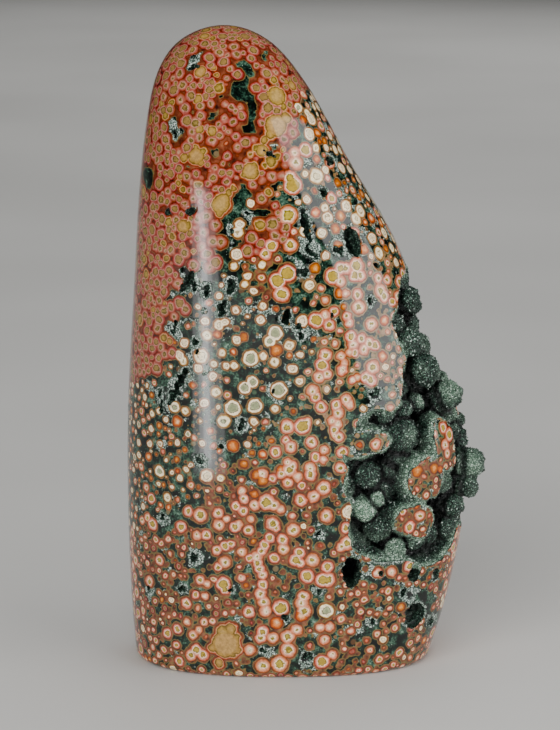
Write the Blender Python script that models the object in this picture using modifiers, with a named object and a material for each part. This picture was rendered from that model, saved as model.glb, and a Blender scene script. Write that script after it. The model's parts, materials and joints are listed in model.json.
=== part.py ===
"""A polished ocean jasper freeform: a tall rounded stone that stands on a sawn flat base.

The stone is one piece. Its right side was left natural: an open pocket there is lined with a
crust of green botryoidal chalcedony, dusted with crystals. The pocket leaves small islands of
stone standing up to the polished face, and smaller vugs open in the polished faces.

Frame: metres, +Z up, the photographed face towards -Y, the origin in the middle of the base.
"""

import math
import random

import bmesh
import bpy
import numpy as np
from mathutils import Matrix, Vector

MM = 0.001

# Driving sizes, in millimetres.
HEIGHT = 120.0
BASE_EDGE_RADIUS = 1.4
SQUARENESS = 2.45  # exponent of the plan's superellipse: 2 is an ellipse, more is boxier
CRUST_GAP = 0.35  # between the crust and the stone round it
CRUST_SEED = 7
SHIFT = (-0.1, 0.4)  # along X and Y, to bring the middle of the whole stone over the origin

# Plan of the polished form: height as a share of HEIGHT, then how far the outline reaches to
# the left, right, front and back of the origin's axes.
SECTIONS = (
    (0.000, -32.2, 23.6, -18.8, 18.4),
    (0.085, -33.0, 26.7, -19.5, 18.9),
    (0.200, -33.5, 29.6, -19.9, 19.2),
    (0.300, -33.6, 30.8, -20.0, 19.2),
    (0.400, -33.4, 28.8, -19.8, 18.8),
    (0.500, -32.8, 23.4, -19.4, 18.2),
    (0.600, -32.0, 20.0, -18.7, 17.3),
    (0.700, -31.3, 14.7, -17.7, 16.0),
    (0.790, -30.4, 8.2, -16.3, 14.4),
    (0.875, -29.0, 2.7, -14.2, 12.2),
    (0.938, -26.8, -2.3, -11.1, 9.2),
    (0.978, -22.9, -7.1, -7.2, 5.5),
    (1.000, -15.0, -15.0, -0.9, -0.9),
)

# Rounded volumes that bound the open pocket: centre x, y, z and half sizes.
POCKET = (
    (28.0, -4.5, 66.0, 14.0, 15.5, 12.5),
    (29.5, -4.0, 54.0, 15.5, 17.0, 11.0),
    (15.6, -20.0, 40.5, 9.0, 9.0, 11.6),
    (17.0, -19.5, 29.5, 9.6, 8.5, 7.5),
    (24.0, -17.0, 40.0, 10.5, 10.5, 17.0),
    (35.0, -1.0, 37.5, 10.0, 16.5, 15.0),
    (23.5, -14.0, 27.0, 8.0, 8.0, 6.5),
)
POCKET_DEPTH = 6.2  # of its wall below the polished form
CORE_STARTS = 0.02  # of the way up the form, for the solid core inside the pocket's wall
CORE_LENGTH = 0.9
CRUST_FLOOR = 1.3  # least height of the crust over the wall

# Islands of stone left standing in the pocket: x, z, half width, half height, lean in degrees.
ISLANDS = (
    (26.1, 43.6, 2.7, 5.2, -12.0),
    (28.0, 49.6, 1.4, 3.3, -8.0),
    (10.6, 45.1, 4.9, 2.6, 0.0),
    (22.4, 37.4, 3.9, 4.2, 0.0),
    (20.3, 29.8, 4.1, 3.2, 20.0),
)
ISLAND_STEM = 9.0  # half length of an island's stem, which leads into the stone
ISLAND_HEAD = 5.0  # how far a stem reaches out of the form before it is cut off level

# The botryoidal lumps in view: x, z, depth of the centre below the form, radius.
MAIN_LUMPS = (
    (19.3, 73.4, 1.0, 1.9),
    (19.6, 69.8, 0.8, 2.0),
    (18.3, 66.1, 2.8, 2.2),
    (19.9, 62.6, 1.0, 2.7),
    (17.9, 58.9, 3.6, 2.3),
    (22.5, 57.1, 0.8, 3.2),
    (18.5, 55.1, 4.0, 2.6),
    (26.6, 51.6, 0.0, 2.8),
    (22.4, 51.9, 3.6, 1.9),
    (19.6, 50.9, 3.4, 1.9),
    (14.8, 56.3, 2.4, 1.9),
    (15.4, 50.7, 2.6, 2.1),
    (19.0, 45.8, 4.2, 3.6),
    (10.4, 47.7, 4.6, 2.1),
    (18.1, 41.3, 4.6, 2.3),
    (16.5, 39.0, 5.0, 2.5),
    (11.9, 38.5, 3.4, 2.6),
    (15.4, 35.4, 4.4, 2.3),
    (9.0, 40.0, 4.2, 1.7),
    (11.2, 32.4, 2.4, 2.5),
    (13.4, 34.2, 1.6, 1.5),
    (14.3, 28.2, 3.6, 2.8),
    (18.4, 30.5, 4.0, 1.7),
    (28.3, 35.3, 3.6, 2.3),
    (30.6, 37.8, -0.6, 2.8),
    (30.4, 33.6, -0.2, 2.2),
    (28.6, 30.6, 1.2, 2.2),
    (27.8, 26.6, 1.4, 2.0),
    (24.5, 25.8, 2.8, 2.0),
    (21.4, 25.2, 2.4, 1.9),
    (17.3, 24.2, 2.2, 2.1),
)
SIDE_LUMP_RADII = (1.9, 3.2)  # of the lumps round the side, away from the front
SIDE_LUMP_DEPTHS = (0.9, 3.4)
SIDE_STARTS = -4.0  # the Y beyond which the lumps are scattered and not placed one by one
SIDE_SPACING = 0.85  # of the two radii of neighbouring lumps
FLOOR_LUMP_RADII = (1.5, 2.3)  # of the lumps that cover the wall between the others
FLOOR_SPACING = 0.9  # of a lump's radius
SPOTS_TRIED = 9000  # places tried for each kind of scattered lump

# Vugs in the polished face: x, z, half width, half height, lean in degrees and depth.
VUGS = (
    (8.6, 81.9, 1.7, 2.9, -12.0, 3.6),
    (4.4, 96.3, 1.1, 1.1, 0.0, 2.4),
    (3.3, 90.9, 0.9, 0.8, 20.0, 2.2),
    (0.0, 85.2, 0.8, 3.2, -14.0, 2.6),
    (-3.6, 68.8, 0.9, 1.6, 14.0, 3.2),
    (-23.4, 55.4, 0.8, 4.2, 26.0, 2.4),
    (8.6, 20.8, 1.9, 3.2, 0.0, 6.0),
    (20.4, 19.6, 1.4, 2.0, 8.0, 3.6),
    (20.6, 10.8, 2.4, 2.6, -8.0, 3.4),
)


def curve_through(knots: np.ndarray, rows: np.ndarray, at: np.ndarray) -> np.ndarray:
    """The natural cubic spline through rows, read at each value of at."""
    step = np.diff(knots)
    slope = np.diff(rows, axis=0) / step[:, None]
    count = len(knots)
    system = np.eye(count)
    right = np.zeros_like(rows)
    for i in range(1, count - 1):
        system[i, i - 1 : i + 2] = step[i - 1], 2 * (step[i - 1] + step[i]), step[i]
        right[i] = 6 * (slope[i] - slope[i - 1])
    bend = np.linalg.solve(system, right)
    i = np.clip(np.searchsorted(knots, at) - 1, 0, count - 2)
    back, ahead = (at - knots[i])[:, None], (knots[i + 1] - at)[:, None]
    width = step[i][:, None]
    return (
        (bend[i] * ahead**3 + bend[i + 1] * back**3) / (6 * width)
        + (rows[i] / width - bend[i] * width / 6) * ahead
        + (rows[i + 1] / width - bend[i + 1] * width / 6) * back
    )


class PolishedForm:
    """The smooth envelope of the whole stone, as a surface over a turn and a way up."""

    BASE_SHARE = 0.10  # of the way from the middle of the base to the top, spent on the base
    EDGE_SHARE = 0.05  # and on its rounded edge
    FINE_ROWS = 400

    def __init__(self) -> None:
        rows = np.array(SECTIONS)
        rows[:, 0] *= HEIGHT
        # Past the top, left is right and front is back, which closes the dome smoothly.
        over = rows[-2:-5:-1][:, [0, 2, 1, 4, 3]]
        rows = np.concatenate([rows, over])
        step = np.linalg.norm(np.diff(rows[:, :3], axis=0) * (1, 0.5, 0.5), axis=1)
        knots = np.concatenate([[0], np.cumsum(step)])
        top = knots[len(SECTIONS) - 1]
        self.fine = curve_through(knots, rows, np.linspace(0, top, self.FINE_ROWS))
        self.fine[0, 0], self.fine[-1, 0] = 0.0, HEIGHT

    def section(self, way: float) -> np.ndarray:
        """Height, left, right, front and back at a share of the way up the wall."""
        place = np.clip(way, 0, 1) * (self.FINE_ROWS - 1)
        return np.array([np.interp(place, np.arange(self.FINE_ROWS), c) for c in self.fine.T])

    def section_at(self, z: float) -> np.ndarray:
        """The same at a height."""
        low = self.fine[:, 0]
        return np.array([np.interp(z, low, c) for c in self.fine.T])

    @staticmethod
    def outline(row: np.ndarray, turn: float, inset: float) -> tuple[float, float]:
        """The outline's point at an angle, pulled in by inset."""
        _, left, right, front, back = row
        half_x = max(0.0, (right - left) / 2 - inset)
        half_y = max(0.0, (back - front) / 2 - inset)
        power = 2 / SQUARENESS
        x = math.copysign(abs(math.cos(turn)) ** power, math.cos(turn))
        y = math.copysign(abs(math.sin(turn)) ** power, math.sin(turn))
        return (left + right) / 2 + half_x * x, (front + back) / 2 + half_y * y

    def point(self, way: float, turn: float) -> Vector:
        """A point of the surface. way runs from 0, the middle of the base, to 1, the top."""
        radius = BASE_EDGE_RADIUS
        wall_starts = self.BASE_SHARE + self.EDGE_SHARE
        if way < self.BASE_SHARE:
            row = self.section(0)
            x, y = self.outline(row, turn, radius)
            middle = Vector(((row[1] + row[2]) / 2, (row[3] + row[4]) / 2, 0))
            return middle.lerp(Vector((x, y, 0)), way / self.BASE_SHARE)
        if way < wall_starts:
            bend = (way - self.BASE_SHARE) / self.EDGE_SHARE * math.pi / 2
            z = radius * (1 - math.cos(bend))
            x, y = self.outline(self.section_at(z), turn, radius * (1 - math.sin(bend)))
            return Vector((x, y, z))
        wall = (way - wall_starts) / (1 - wall_starts)
        first = np.interp(radius, self.fine[:, 0], np.linspace(0, 1, self.FINE_ROWS))
        row = self.section(first + (1 - first) * wall)
        x, y = self.outline(row, turn, 0)
        return Vector((x, y, row[0]))

    def inner_point(self, way: float, turn: float, inset: float) -> Vector:
        """A point of the same form pulled in all round by inset."""
        row = self.section(way)
        x, y = self.outline(row, turn, inset)
        return Vector((x, y, row[0]))

    def front(self, x: float, z: float) -> Vector:
        """The point of the form's front face at this x and z."""
        _, left, right, front, back = self.section_at(z)
        across = abs(x - (left + right) / 2) / ((right - left) / 2)
        reach = max(0.0, 1 - across**SQUARENESS) ** (1 / SQUARENESS)
        return Vector((x, (front + back) / 2 - (back - front) / 2 * reach, z))

    def level(self, point: Vector) -> float:
        """0 on the axis, 1 on the surface and more outside."""
        if not 0 < point.z < HEIGHT:
            return 2.0
        _, left, right, front, back = self.section_at(point.z)
        x = abs(point.x - (left + right) / 2) / ((right - left) / 2)
        y = abs(point.y - (front + back) / 2) / ((back - front) / 2)
        return (x**SQUARENESS + y**SQUARENESS) ** (1 / SQUARENESS)

    def inward(self, point: Vector) -> Vector:
        """The direction that leads into the stone, square to its surface."""
        step = 0.2
        moves = [Vector((step, 0, 0)), Vector((0, step, 0)), Vector((0, 0, step))]
        slope = [self.level(point + m) - self.level(point - m) for m in moves]
        return -Vector(slope).normalized()

    def frame_at(self, point: Vector, depth: float, lean: float) -> Matrix:
        """A place at a depth, with Y leading inwards and Z up the face, leant in degrees."""
        into = self.inward(point)
        square = into.to_track_quat("Y", "Z").to_matrix().to_4x4()
        return (
            Matrix.Translation(point + into * depth)
            @ square
            @ Matrix.Rotation(math.radians(lean), 4, "Y")
        )


FORM = PolishedForm()


def clear_scene() -> None:
    for old in list(bpy.data.objects):
        bpy.data.objects.remove(old, do_unlink=True)


def collection(name: str) -> bpy.types.Collection:
    made = bpy.data.collections.new(name)
    bpy.context.scene.collection.children.link(made)
    return made


def material(name: str, colour: tuple, roughness: float) -> bpy.types.Material:
    """A Principled material of one colour."""
    made = bpy.data.materials.new(name)
    made.use_nodes = True
    shader = made.node_tree.nodes["Principled BSDF"]
    shader.inputs["Base Color"].default_value = (*colour, 1)
    shader.inputs["Roughness"].default_value = roughness
    shader.inputs["Metallic"].default_value = 0.0
    made.diffuse_color = (*colour, 1)
    return made


def finish_mesh(name: str, bm: bmesh.types.BMesh, home: bpy.types.Collection):
    """Turns a bmesh that was made in millimetres into an object in metres."""
    bmesh.ops.translate(bm, vec=(*SHIFT, 0), verts=bm.verts)
    bmesh.ops.scale(bm, vec=(MM, MM, MM), verts=bm.verts)
    bmesh.ops.recalc_face_normals(bm, faces=bm.faces)
    mesh = bpy.data.meshes.new(name)
    bm.to_mesh(mesh)
    bm.free()
    made = bpy.data.objects.new(name, mesh)
    home.objects.link(made)
    return made


def polished_envelope(name: str, home, turns: int, rings: int) -> bpy.types.Object:
    """The whole smooth form, from a sphere whose rings are moved onto the sections."""
    bm = bmesh.new()
    bmesh.ops.create_uvsphere(bm, u_segments=turns, v_segments=rings, radius=1)
    for vertex in bm.verts:
        way = 1 - math.acos(max(-1.0, min(1.0, vertex.co.z))) / math.pi
        vertex.co = FORM.point(way, math.atan2(vertex.co.y, vertex.co.x))
    return finish_mesh(name, bm, home)


def core(name: str, home, inset: float) -> bpy.types.Object:
    """The part of the stone that the pocket doesn't reach."""
    bm = bmesh.new()
    bmesh.ops.create_uvsphere(bm, u_segments=28, v_segments=32, radius=1)
    for vertex in bm.verts:
        way = 1 - math.acos(max(-1.0, min(1.0, vertex.co.z))) / math.pi
        turn = math.atan2(vertex.co.y, vertex.co.x)
        vertex.co = FORM.inner_point(CORE_STARTS + CORE_LENGTH * way, turn, inset)
    ends = [v for v in bm.verts if len(v.link_edges) > 4]
    for end in ends:
        rim = [e.other_vert(end).co for e in end.link_edges]
        end.co = sum(rim, Vector()) / len(rim)
    return finish_mesh(name, bm, home)


def ellipsoids(name: str, home, places: list, detail: int) -> bpy.types.Object:
    """One ellipsoid for each matrix, in one mesh."""
    bm = bmesh.new()
    for place in places:
        bmesh.ops.create_icosphere(bm, subdivisions=detail, radius=1, matrix=place)
    return finish_mesh(name, bm, home)


def fuse(obj: bpy.types.Object, voxel: float, keep: float) -> None:
    """Makes overlapping shells one skin, then thins its triangles to a share."""
    skin = obj.modifiers.new("one_skin", "REMESH")
    skin.mode = "VOXEL"
    skin.voxel_size = voxel * MM
    thin = obj.modifiers.new("fewer_faces", "DECIMATE")
    thin.ratio = keep


def boolean(obj, operation: str, other: bpy.types.Object) -> None:
    """Adds a Boolean with a helper, which is no piece of the object itself."""
    other.hide_render = True
    other.display_type = "WIRE"
    step = obj.modifiers.new(f"{operation.lower()}_{other.name}", "BOOLEAN")
    step.operation = operation
    step.solver = "EXACT"
    step.object = other


def applied(obj: bpy.types.Object) -> bpy.types.Object:
    """Replaces an object's mesh with its evaluated one, without its modifiers."""
    bpy.context.view_layer.update()
    graph = bpy.context.evaluated_depsgraph_get()
    mesh = bpy.data.meshes.new_from_object(obj.evaluated_get(graph), depsgraph=graph)
    obj.modifiers.clear()
    obj.data = mesh
    return obj


def swollen(obj: bpy.types.Object, name: str, growth: float) -> bpy.types.Object:
    """A copy whose skin is moved out by growth, or in where growth is negative."""
    copy = obj.copy()
    copy.data = obj.data.copy()
    copy.name = name
    obj.users_collection[0].objects.link(copy)
    moves = [vertex.normal * growth * MM for vertex in copy.data.vertices]
    for vertex, move in zip(copy.data.vertices, moves):
        vertex.co += move
    return copy


def size_matrix(x: float, y: float, z: float) -> Matrix:
    return Matrix.Diagonal((x, y, z, 1))


def pocket_bounds(home) -> bpy.types.Object:
    """The rounded volumes of the pocket in one skin."""
    places = [Matrix.Translation((x, y, z)) @ size_matrix(*half) for x, y, z, *half in POCKET]
    bounds = ellipsoids("pocket_bounds", home, places, 3)
    fuse(bounds, 2.0, 0.45)
    return applied(bounds)


def island_stems(home) -> bpy.types.Object:
    """The islands, each on a stem that is rooted in the stone."""
    places = []
    for x, z, wide, high, lean in ISLANDS:
        frame = FORM.frame_at(FORM.front(x, z), ISLAND_STEM - ISLAND_HEAD, lean)
        places.append(frame @ size_matrix(wide, ISLAND_STEM, high))
    stems = ellipsoids("island_stems", home, places, 3)
    fuse(stems, 1.0, 0.35)
    return applied(stems)


def vug_cutter(home) -> bpy.types.Object:
    """One lens-shaped hollow for each vug, sunk in the polished face."""
    places = []
    for x, z, wide, high, lean, deep in VUGS:
        frame = FORM.frame_at(FORM.front(x, z), 0.0, lean)
        places.append(frame @ size_matrix(wide, deep, high))
    return ellipsoids("vug_cutter", home, places, 2)


def in_pocket(point: Vector) -> bool:
    """Whether a point is inside one of the pocket's rounded volumes."""
    for x, y, z, *half in POCKET:
        reach = [(p - c) / h for p, c, h in zip(point, (x, y, z), half)]
        if sum(r * r for r in reach) < 1:
            return True
    return False


def surface_spots(chance: random.Random) -> list:
    """Points of the form over the pocket, in a seeded order."""
    spots = []
    for _ in range(SPOTS_TRIED):
        spot = FORM.point(chance.uniform(0.2, 0.8), chance.uniform(0, 2 * math.pi))
        if in_pocket(spot):
            spots.append(spot)
    return spots


def at_rim(surface: Vector, radius: float) -> bool:
    """Whether the pocket ends within a radius of a point of the surface."""
    frame = FORM.frame_at(surface, 0.0, 0.0)
    turns = [step * math.pi / 4 for step in range(8)]
    ring = [frame @ Vector((radius * math.cos(t), 0, radius * math.sin(t))) for t in turns]
    return not all(in_pocket(spot) for spot in ring)


def lump_chain(surface: Vector, depth: float, radius: float) -> list:
    """A lump and the ones under it, which carry it down to the pocket's wall."""
    into = FORM.inward(surface)
    if at_rim(surface, 1.2 * radius):
        depth = max(depth, radius)
    overlap, widening = 0.8, 1.04
    chain = []
    while depth < POCKET_DEPTH + 0.5 * radius:
        chain.append((surface + into * depth, radius))
        depth += overlap * radius
        radius *= widening
    return chain


def crust_lumps() -> list:
    """Centres and radii of all the crust's lumps."""
    chance = random.Random(CRUST_SEED)
    heads = []
    for x, z, depth, radius in MAIN_LUMPS:
        heads.append((FORM.front(x, z), depth, radius))
    for spot in surface_spots(chance):
        radius = chance.uniform(*SIDE_LUMP_RADII)
        depth = chance.uniform(*SIDE_LUMP_DEPTHS)
        clear = [(spot - at).length > SIDE_SPACING * (radius + r) for at, _, r in heads]
        if spot.y > SIDE_STARTS and all(clear):
            heads.append((spot, depth, radius))
    lumps = [lump for head in heads for lump in lump_chain(*head)]
    floor = []
    for spot in surface_spots(chance):
        radius = chance.uniform(*FLOOR_LUMP_RADII)
        at = spot + FORM.inward(spot) * (POCKET_DEPTH + 0.5 * radius - CRUST_FLOOR)
        if all((at - other).length > FLOOR_SPACING * radius for other, _ in floor):
            floor.append((at, radius))
    return lumps + floor


def crust_mass(home) -> bpy.types.Object:
    """The botryoidal crust before it is fitted in the pocket."""
    places = []
    for at, radius in crust_lumps():
        places.append(Matrix.Translation(at) @ size_matrix(radius, radius, radius))
    mass = ellipsoids("druse_crust", home, places, 2)
    fuse(mass, 0.95, 0.21)
    return applied(mass)


def keep_largest(obj: bpy.types.Object) -> None:
    """Deletes the crumbs that a Boolean left beside the main body."""
    bm = bmesh.new()
    bm.from_mesh(obj.data)
    todo, bodies = set(bm.verts), []
    while todo:
        body, edge = set(), [todo.pop()]
        while edge:
            vertex = edge.pop()
            body.add(vertex)
            near = {e.other_vert(vertex) for e in vertex.link_edges} & todo
            todo -= near
            edge.extend(near)
        bodies.append(body)
    bodies.sort(key=len)
    crumbs = [v for body in bodies[:-1] for v in body]
    bmesh.ops.delete(bm, geom=crumbs, context="VERTS")
    bm.to_mesh(obj.data)
    bm.free()


def main() -> None:
    clear_scene()
    home = collection("ocean_jasper")
    cutters = collection("cutters")

    space = pocket_bounds(cutters)
    stems = island_stems(cutters)
    middle = core("core", cutters, POCKET_DEPTH)
    crust_room = swollen(space, "crust_room", -CRUST_GAP)
    room_stems = swollen(stems, "room_stems", CRUST_GAP)
    room_middle = swollen(middle, "room_middle", CRUST_GAP)

    boolean(space, "DIFFERENCE", middle)
    boolean(space, "DIFFERENCE", stems)
    applied(space)
    stone = polished_envelope("polished_stone", home, turns=44, rings=36)
    boolean(stone, "DIFFERENCE", space)
    boolean(stone, "DIFFERENCE", vug_cutter(cutters))
    applied(stone)
    keep_largest(stone)
    stone.data.materials.append(material("polished_jasper", (0.45, 0.17, 0.11), 0.12))

    boolean(crust_room, "DIFFERENCE", room_middle)
    boolean(crust_room, "DIFFERENCE", room_stems)
    applied(crust_room)
    crust = crust_mass(home)
    boolean(crust, "INTERSECT", crust_room)
    applied(crust)
    keep_largest(crust)
    crust.data.materials.append(material("green_druse", (0.05, 0.11, 0.08), 0.55))


main()
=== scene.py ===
"""The looks of a polished ocean jasper freeform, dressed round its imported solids.

The stone is a smooth tall dome, sawn flat below, with thousands of ringed spherulites cut open
by its polish. Down its right side an open pocket is lined with a crust of dark green botryoidal
chalcedony that is dusted with quartz points. Lengths are in millimetres until a mesh is made.
"""

import json
import logging
import math
from dataclasses import dataclass, field
from enum import Enum, IntEnum
from itertools import product

import bmesh
import bpy
import numpy as np
from mathutils import Matrix, Vector
from mathutils.kdtree import KDTree

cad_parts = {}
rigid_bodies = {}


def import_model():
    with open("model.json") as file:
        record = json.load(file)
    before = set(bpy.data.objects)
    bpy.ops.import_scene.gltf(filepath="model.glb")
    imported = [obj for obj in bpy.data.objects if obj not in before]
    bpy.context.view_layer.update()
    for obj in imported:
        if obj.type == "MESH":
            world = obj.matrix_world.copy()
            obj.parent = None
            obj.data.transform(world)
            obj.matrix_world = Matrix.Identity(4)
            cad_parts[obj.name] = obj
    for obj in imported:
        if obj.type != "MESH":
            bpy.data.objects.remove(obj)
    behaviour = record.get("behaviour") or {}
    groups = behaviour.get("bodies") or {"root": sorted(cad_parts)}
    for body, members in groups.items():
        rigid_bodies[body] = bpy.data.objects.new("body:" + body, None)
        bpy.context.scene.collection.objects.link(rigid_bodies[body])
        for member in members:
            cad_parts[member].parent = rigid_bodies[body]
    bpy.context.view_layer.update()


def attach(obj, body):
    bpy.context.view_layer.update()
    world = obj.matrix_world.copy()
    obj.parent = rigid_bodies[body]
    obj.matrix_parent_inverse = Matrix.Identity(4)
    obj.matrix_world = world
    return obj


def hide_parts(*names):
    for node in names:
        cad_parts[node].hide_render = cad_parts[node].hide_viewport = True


Mesh = bpy.types.Mesh
Piece = bpy.types.Object
Socket = bpy.types.NodeSocket
Material = bpy.types.Material

LOG = logging.getLogger("ocean_jasper")
MM = 0.001
HEIGHT = 120.0
SHIFT = np.array((-0.1, 0.4, 0.0))  # brings the middle of the whole stone over the origin
PIXEL = 0.19  # what one pixel of the photograph spans across the stone, in mm
PIXEL_UP = 0.193  # what it spans up the face, which the camera looks down on
FARTHEST = 9.0  # distances from a mark are measured no further than this, in mm
PAINTED_SHADE_DEPTH = 8.0  # the depth at which the depth attribute, which paints shade into the crust and raw walls, is one, in mm
NEAREST_ORBS = 8  # orbs that each face of the polish knows of
CODE_SCALE = 8.0  # an orb's radius over this is the fraction of its code
CHALCEDONY_INDEX = 1.54  # refractive index of chalcedony and quartz


def linear(code: str) -> tuple[float, float, float, float]:
    """Turns an sRGB hex colour into linear light.

    Args:
        code: the colour as six hex digits after a hash sign.

    Returns:
        Red, green, blue and an alpha of one.
    """
    parts = [int(code[i : i + 2], 16) / 255 for i in (1, 3, 5)]
    light = [p / 12.92 if p <= 0.04045 else ((p + 0.055) / 1.055) ** 2.4 for p in parts]
    return (*light, 1.0)


def curve_through(knots: np.ndarray, rows: np.ndarray, at: np.ndarray) -> np.ndarray:
    """Reads the natural cubic spline through rows.

    Args:
        knots: the place of each row along the curve.
        rows: the values that the curve passes through.
        at: the places to read.

    Returns:
        One row of values for each place.
    """
    step = np.diff(knots)
    slope = np.diff(rows, axis=0) / step[:, None]
    count = len(knots)
    system = np.eye(count)
    right = np.zeros_like(rows)
    for i in range(1, count - 1):
        system[i, i - 1 : i + 2] = step[i - 1], 2 * (step[i - 1] + step[i]), step[i]
        right[i] = 6 * (slope[i] - slope[i - 1])
    bend = np.linalg.solve(system, right)
    i = np.clip(np.searchsorted(knots, at) - 1, 0, count - 2)
    back, ahead = (at - knots[i])[:, None], (knots[i + 1] - at)[:, None]
    width = step[i][:, None]
    return (
        (bend[i] * ahead**3 + bend[i + 1] * back**3) / (6 * width)
        + (rows[i] / width - bend[i] * width / 6) * ahead
        + (rows[i + 1] / width - bend[i + 1] * width / 6) * back
    )


def tree_of(points: np.ndarray | list) -> KDTree:
    """Sorts points so that the nearest ones are found at once.

    Args:
        points: the points.

    Returns:
        The tree, which knows each point by its number.
    """
    tree = KDTree(len(points))
    for number, point in enumerate(points):
        tree.insert(point, number)
    tree.balance()
    return tree


def away_from(marks: np.ndarray, points: np.ndarray) -> np.ndarray:
    """The distance of each point from the nearest mark, up to the farthest that counts."""
    tree = tree_of(marks)
    return np.array([min(FARTHEST, tree.find(point)[2]) for point in points])


def smooth_step(low: float, high: float, value: np.ndarray) -> np.ndarray:
    """Rises smoothly from 0 at low to 1 at high."""
    share = np.clip((value - low) / (high - low), 0.0, 1.0)
    return share * share * (3 - 2 * share)


class Waves:
    """A cheap smooth 3-D noise: a seeded sum of sine waves, for masks made in the mesh."""

    def __init__(self, seed: int, wavelength: float, count: int = 14) -> None:
        """Draws the waves.

        Args:
            seed: starts the draw.
            wavelength: the mean length of a wave, in mm.
            count: how many waves are added up.
        """
        chance = np.random.default_rng(seed)
        ways = chance.normal(size=(count, 3))
        ways /= np.linalg.norm(ways, axis=1)[:, None]
        self.ways = ways * (2 * math.pi / (wavelength * chance.uniform(0.6, 1.6, (count, 1))))
        self.starts = chance.uniform(0, 2 * math.pi, count)

    def at(self, points: np.ndarray) -> np.ndarray:
        """Values of about -1 to 1 at each point."""
        return np.sin(points @ self.ways.T + self.starts).sum(1) / math.sqrt(len(self.starts))


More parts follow.
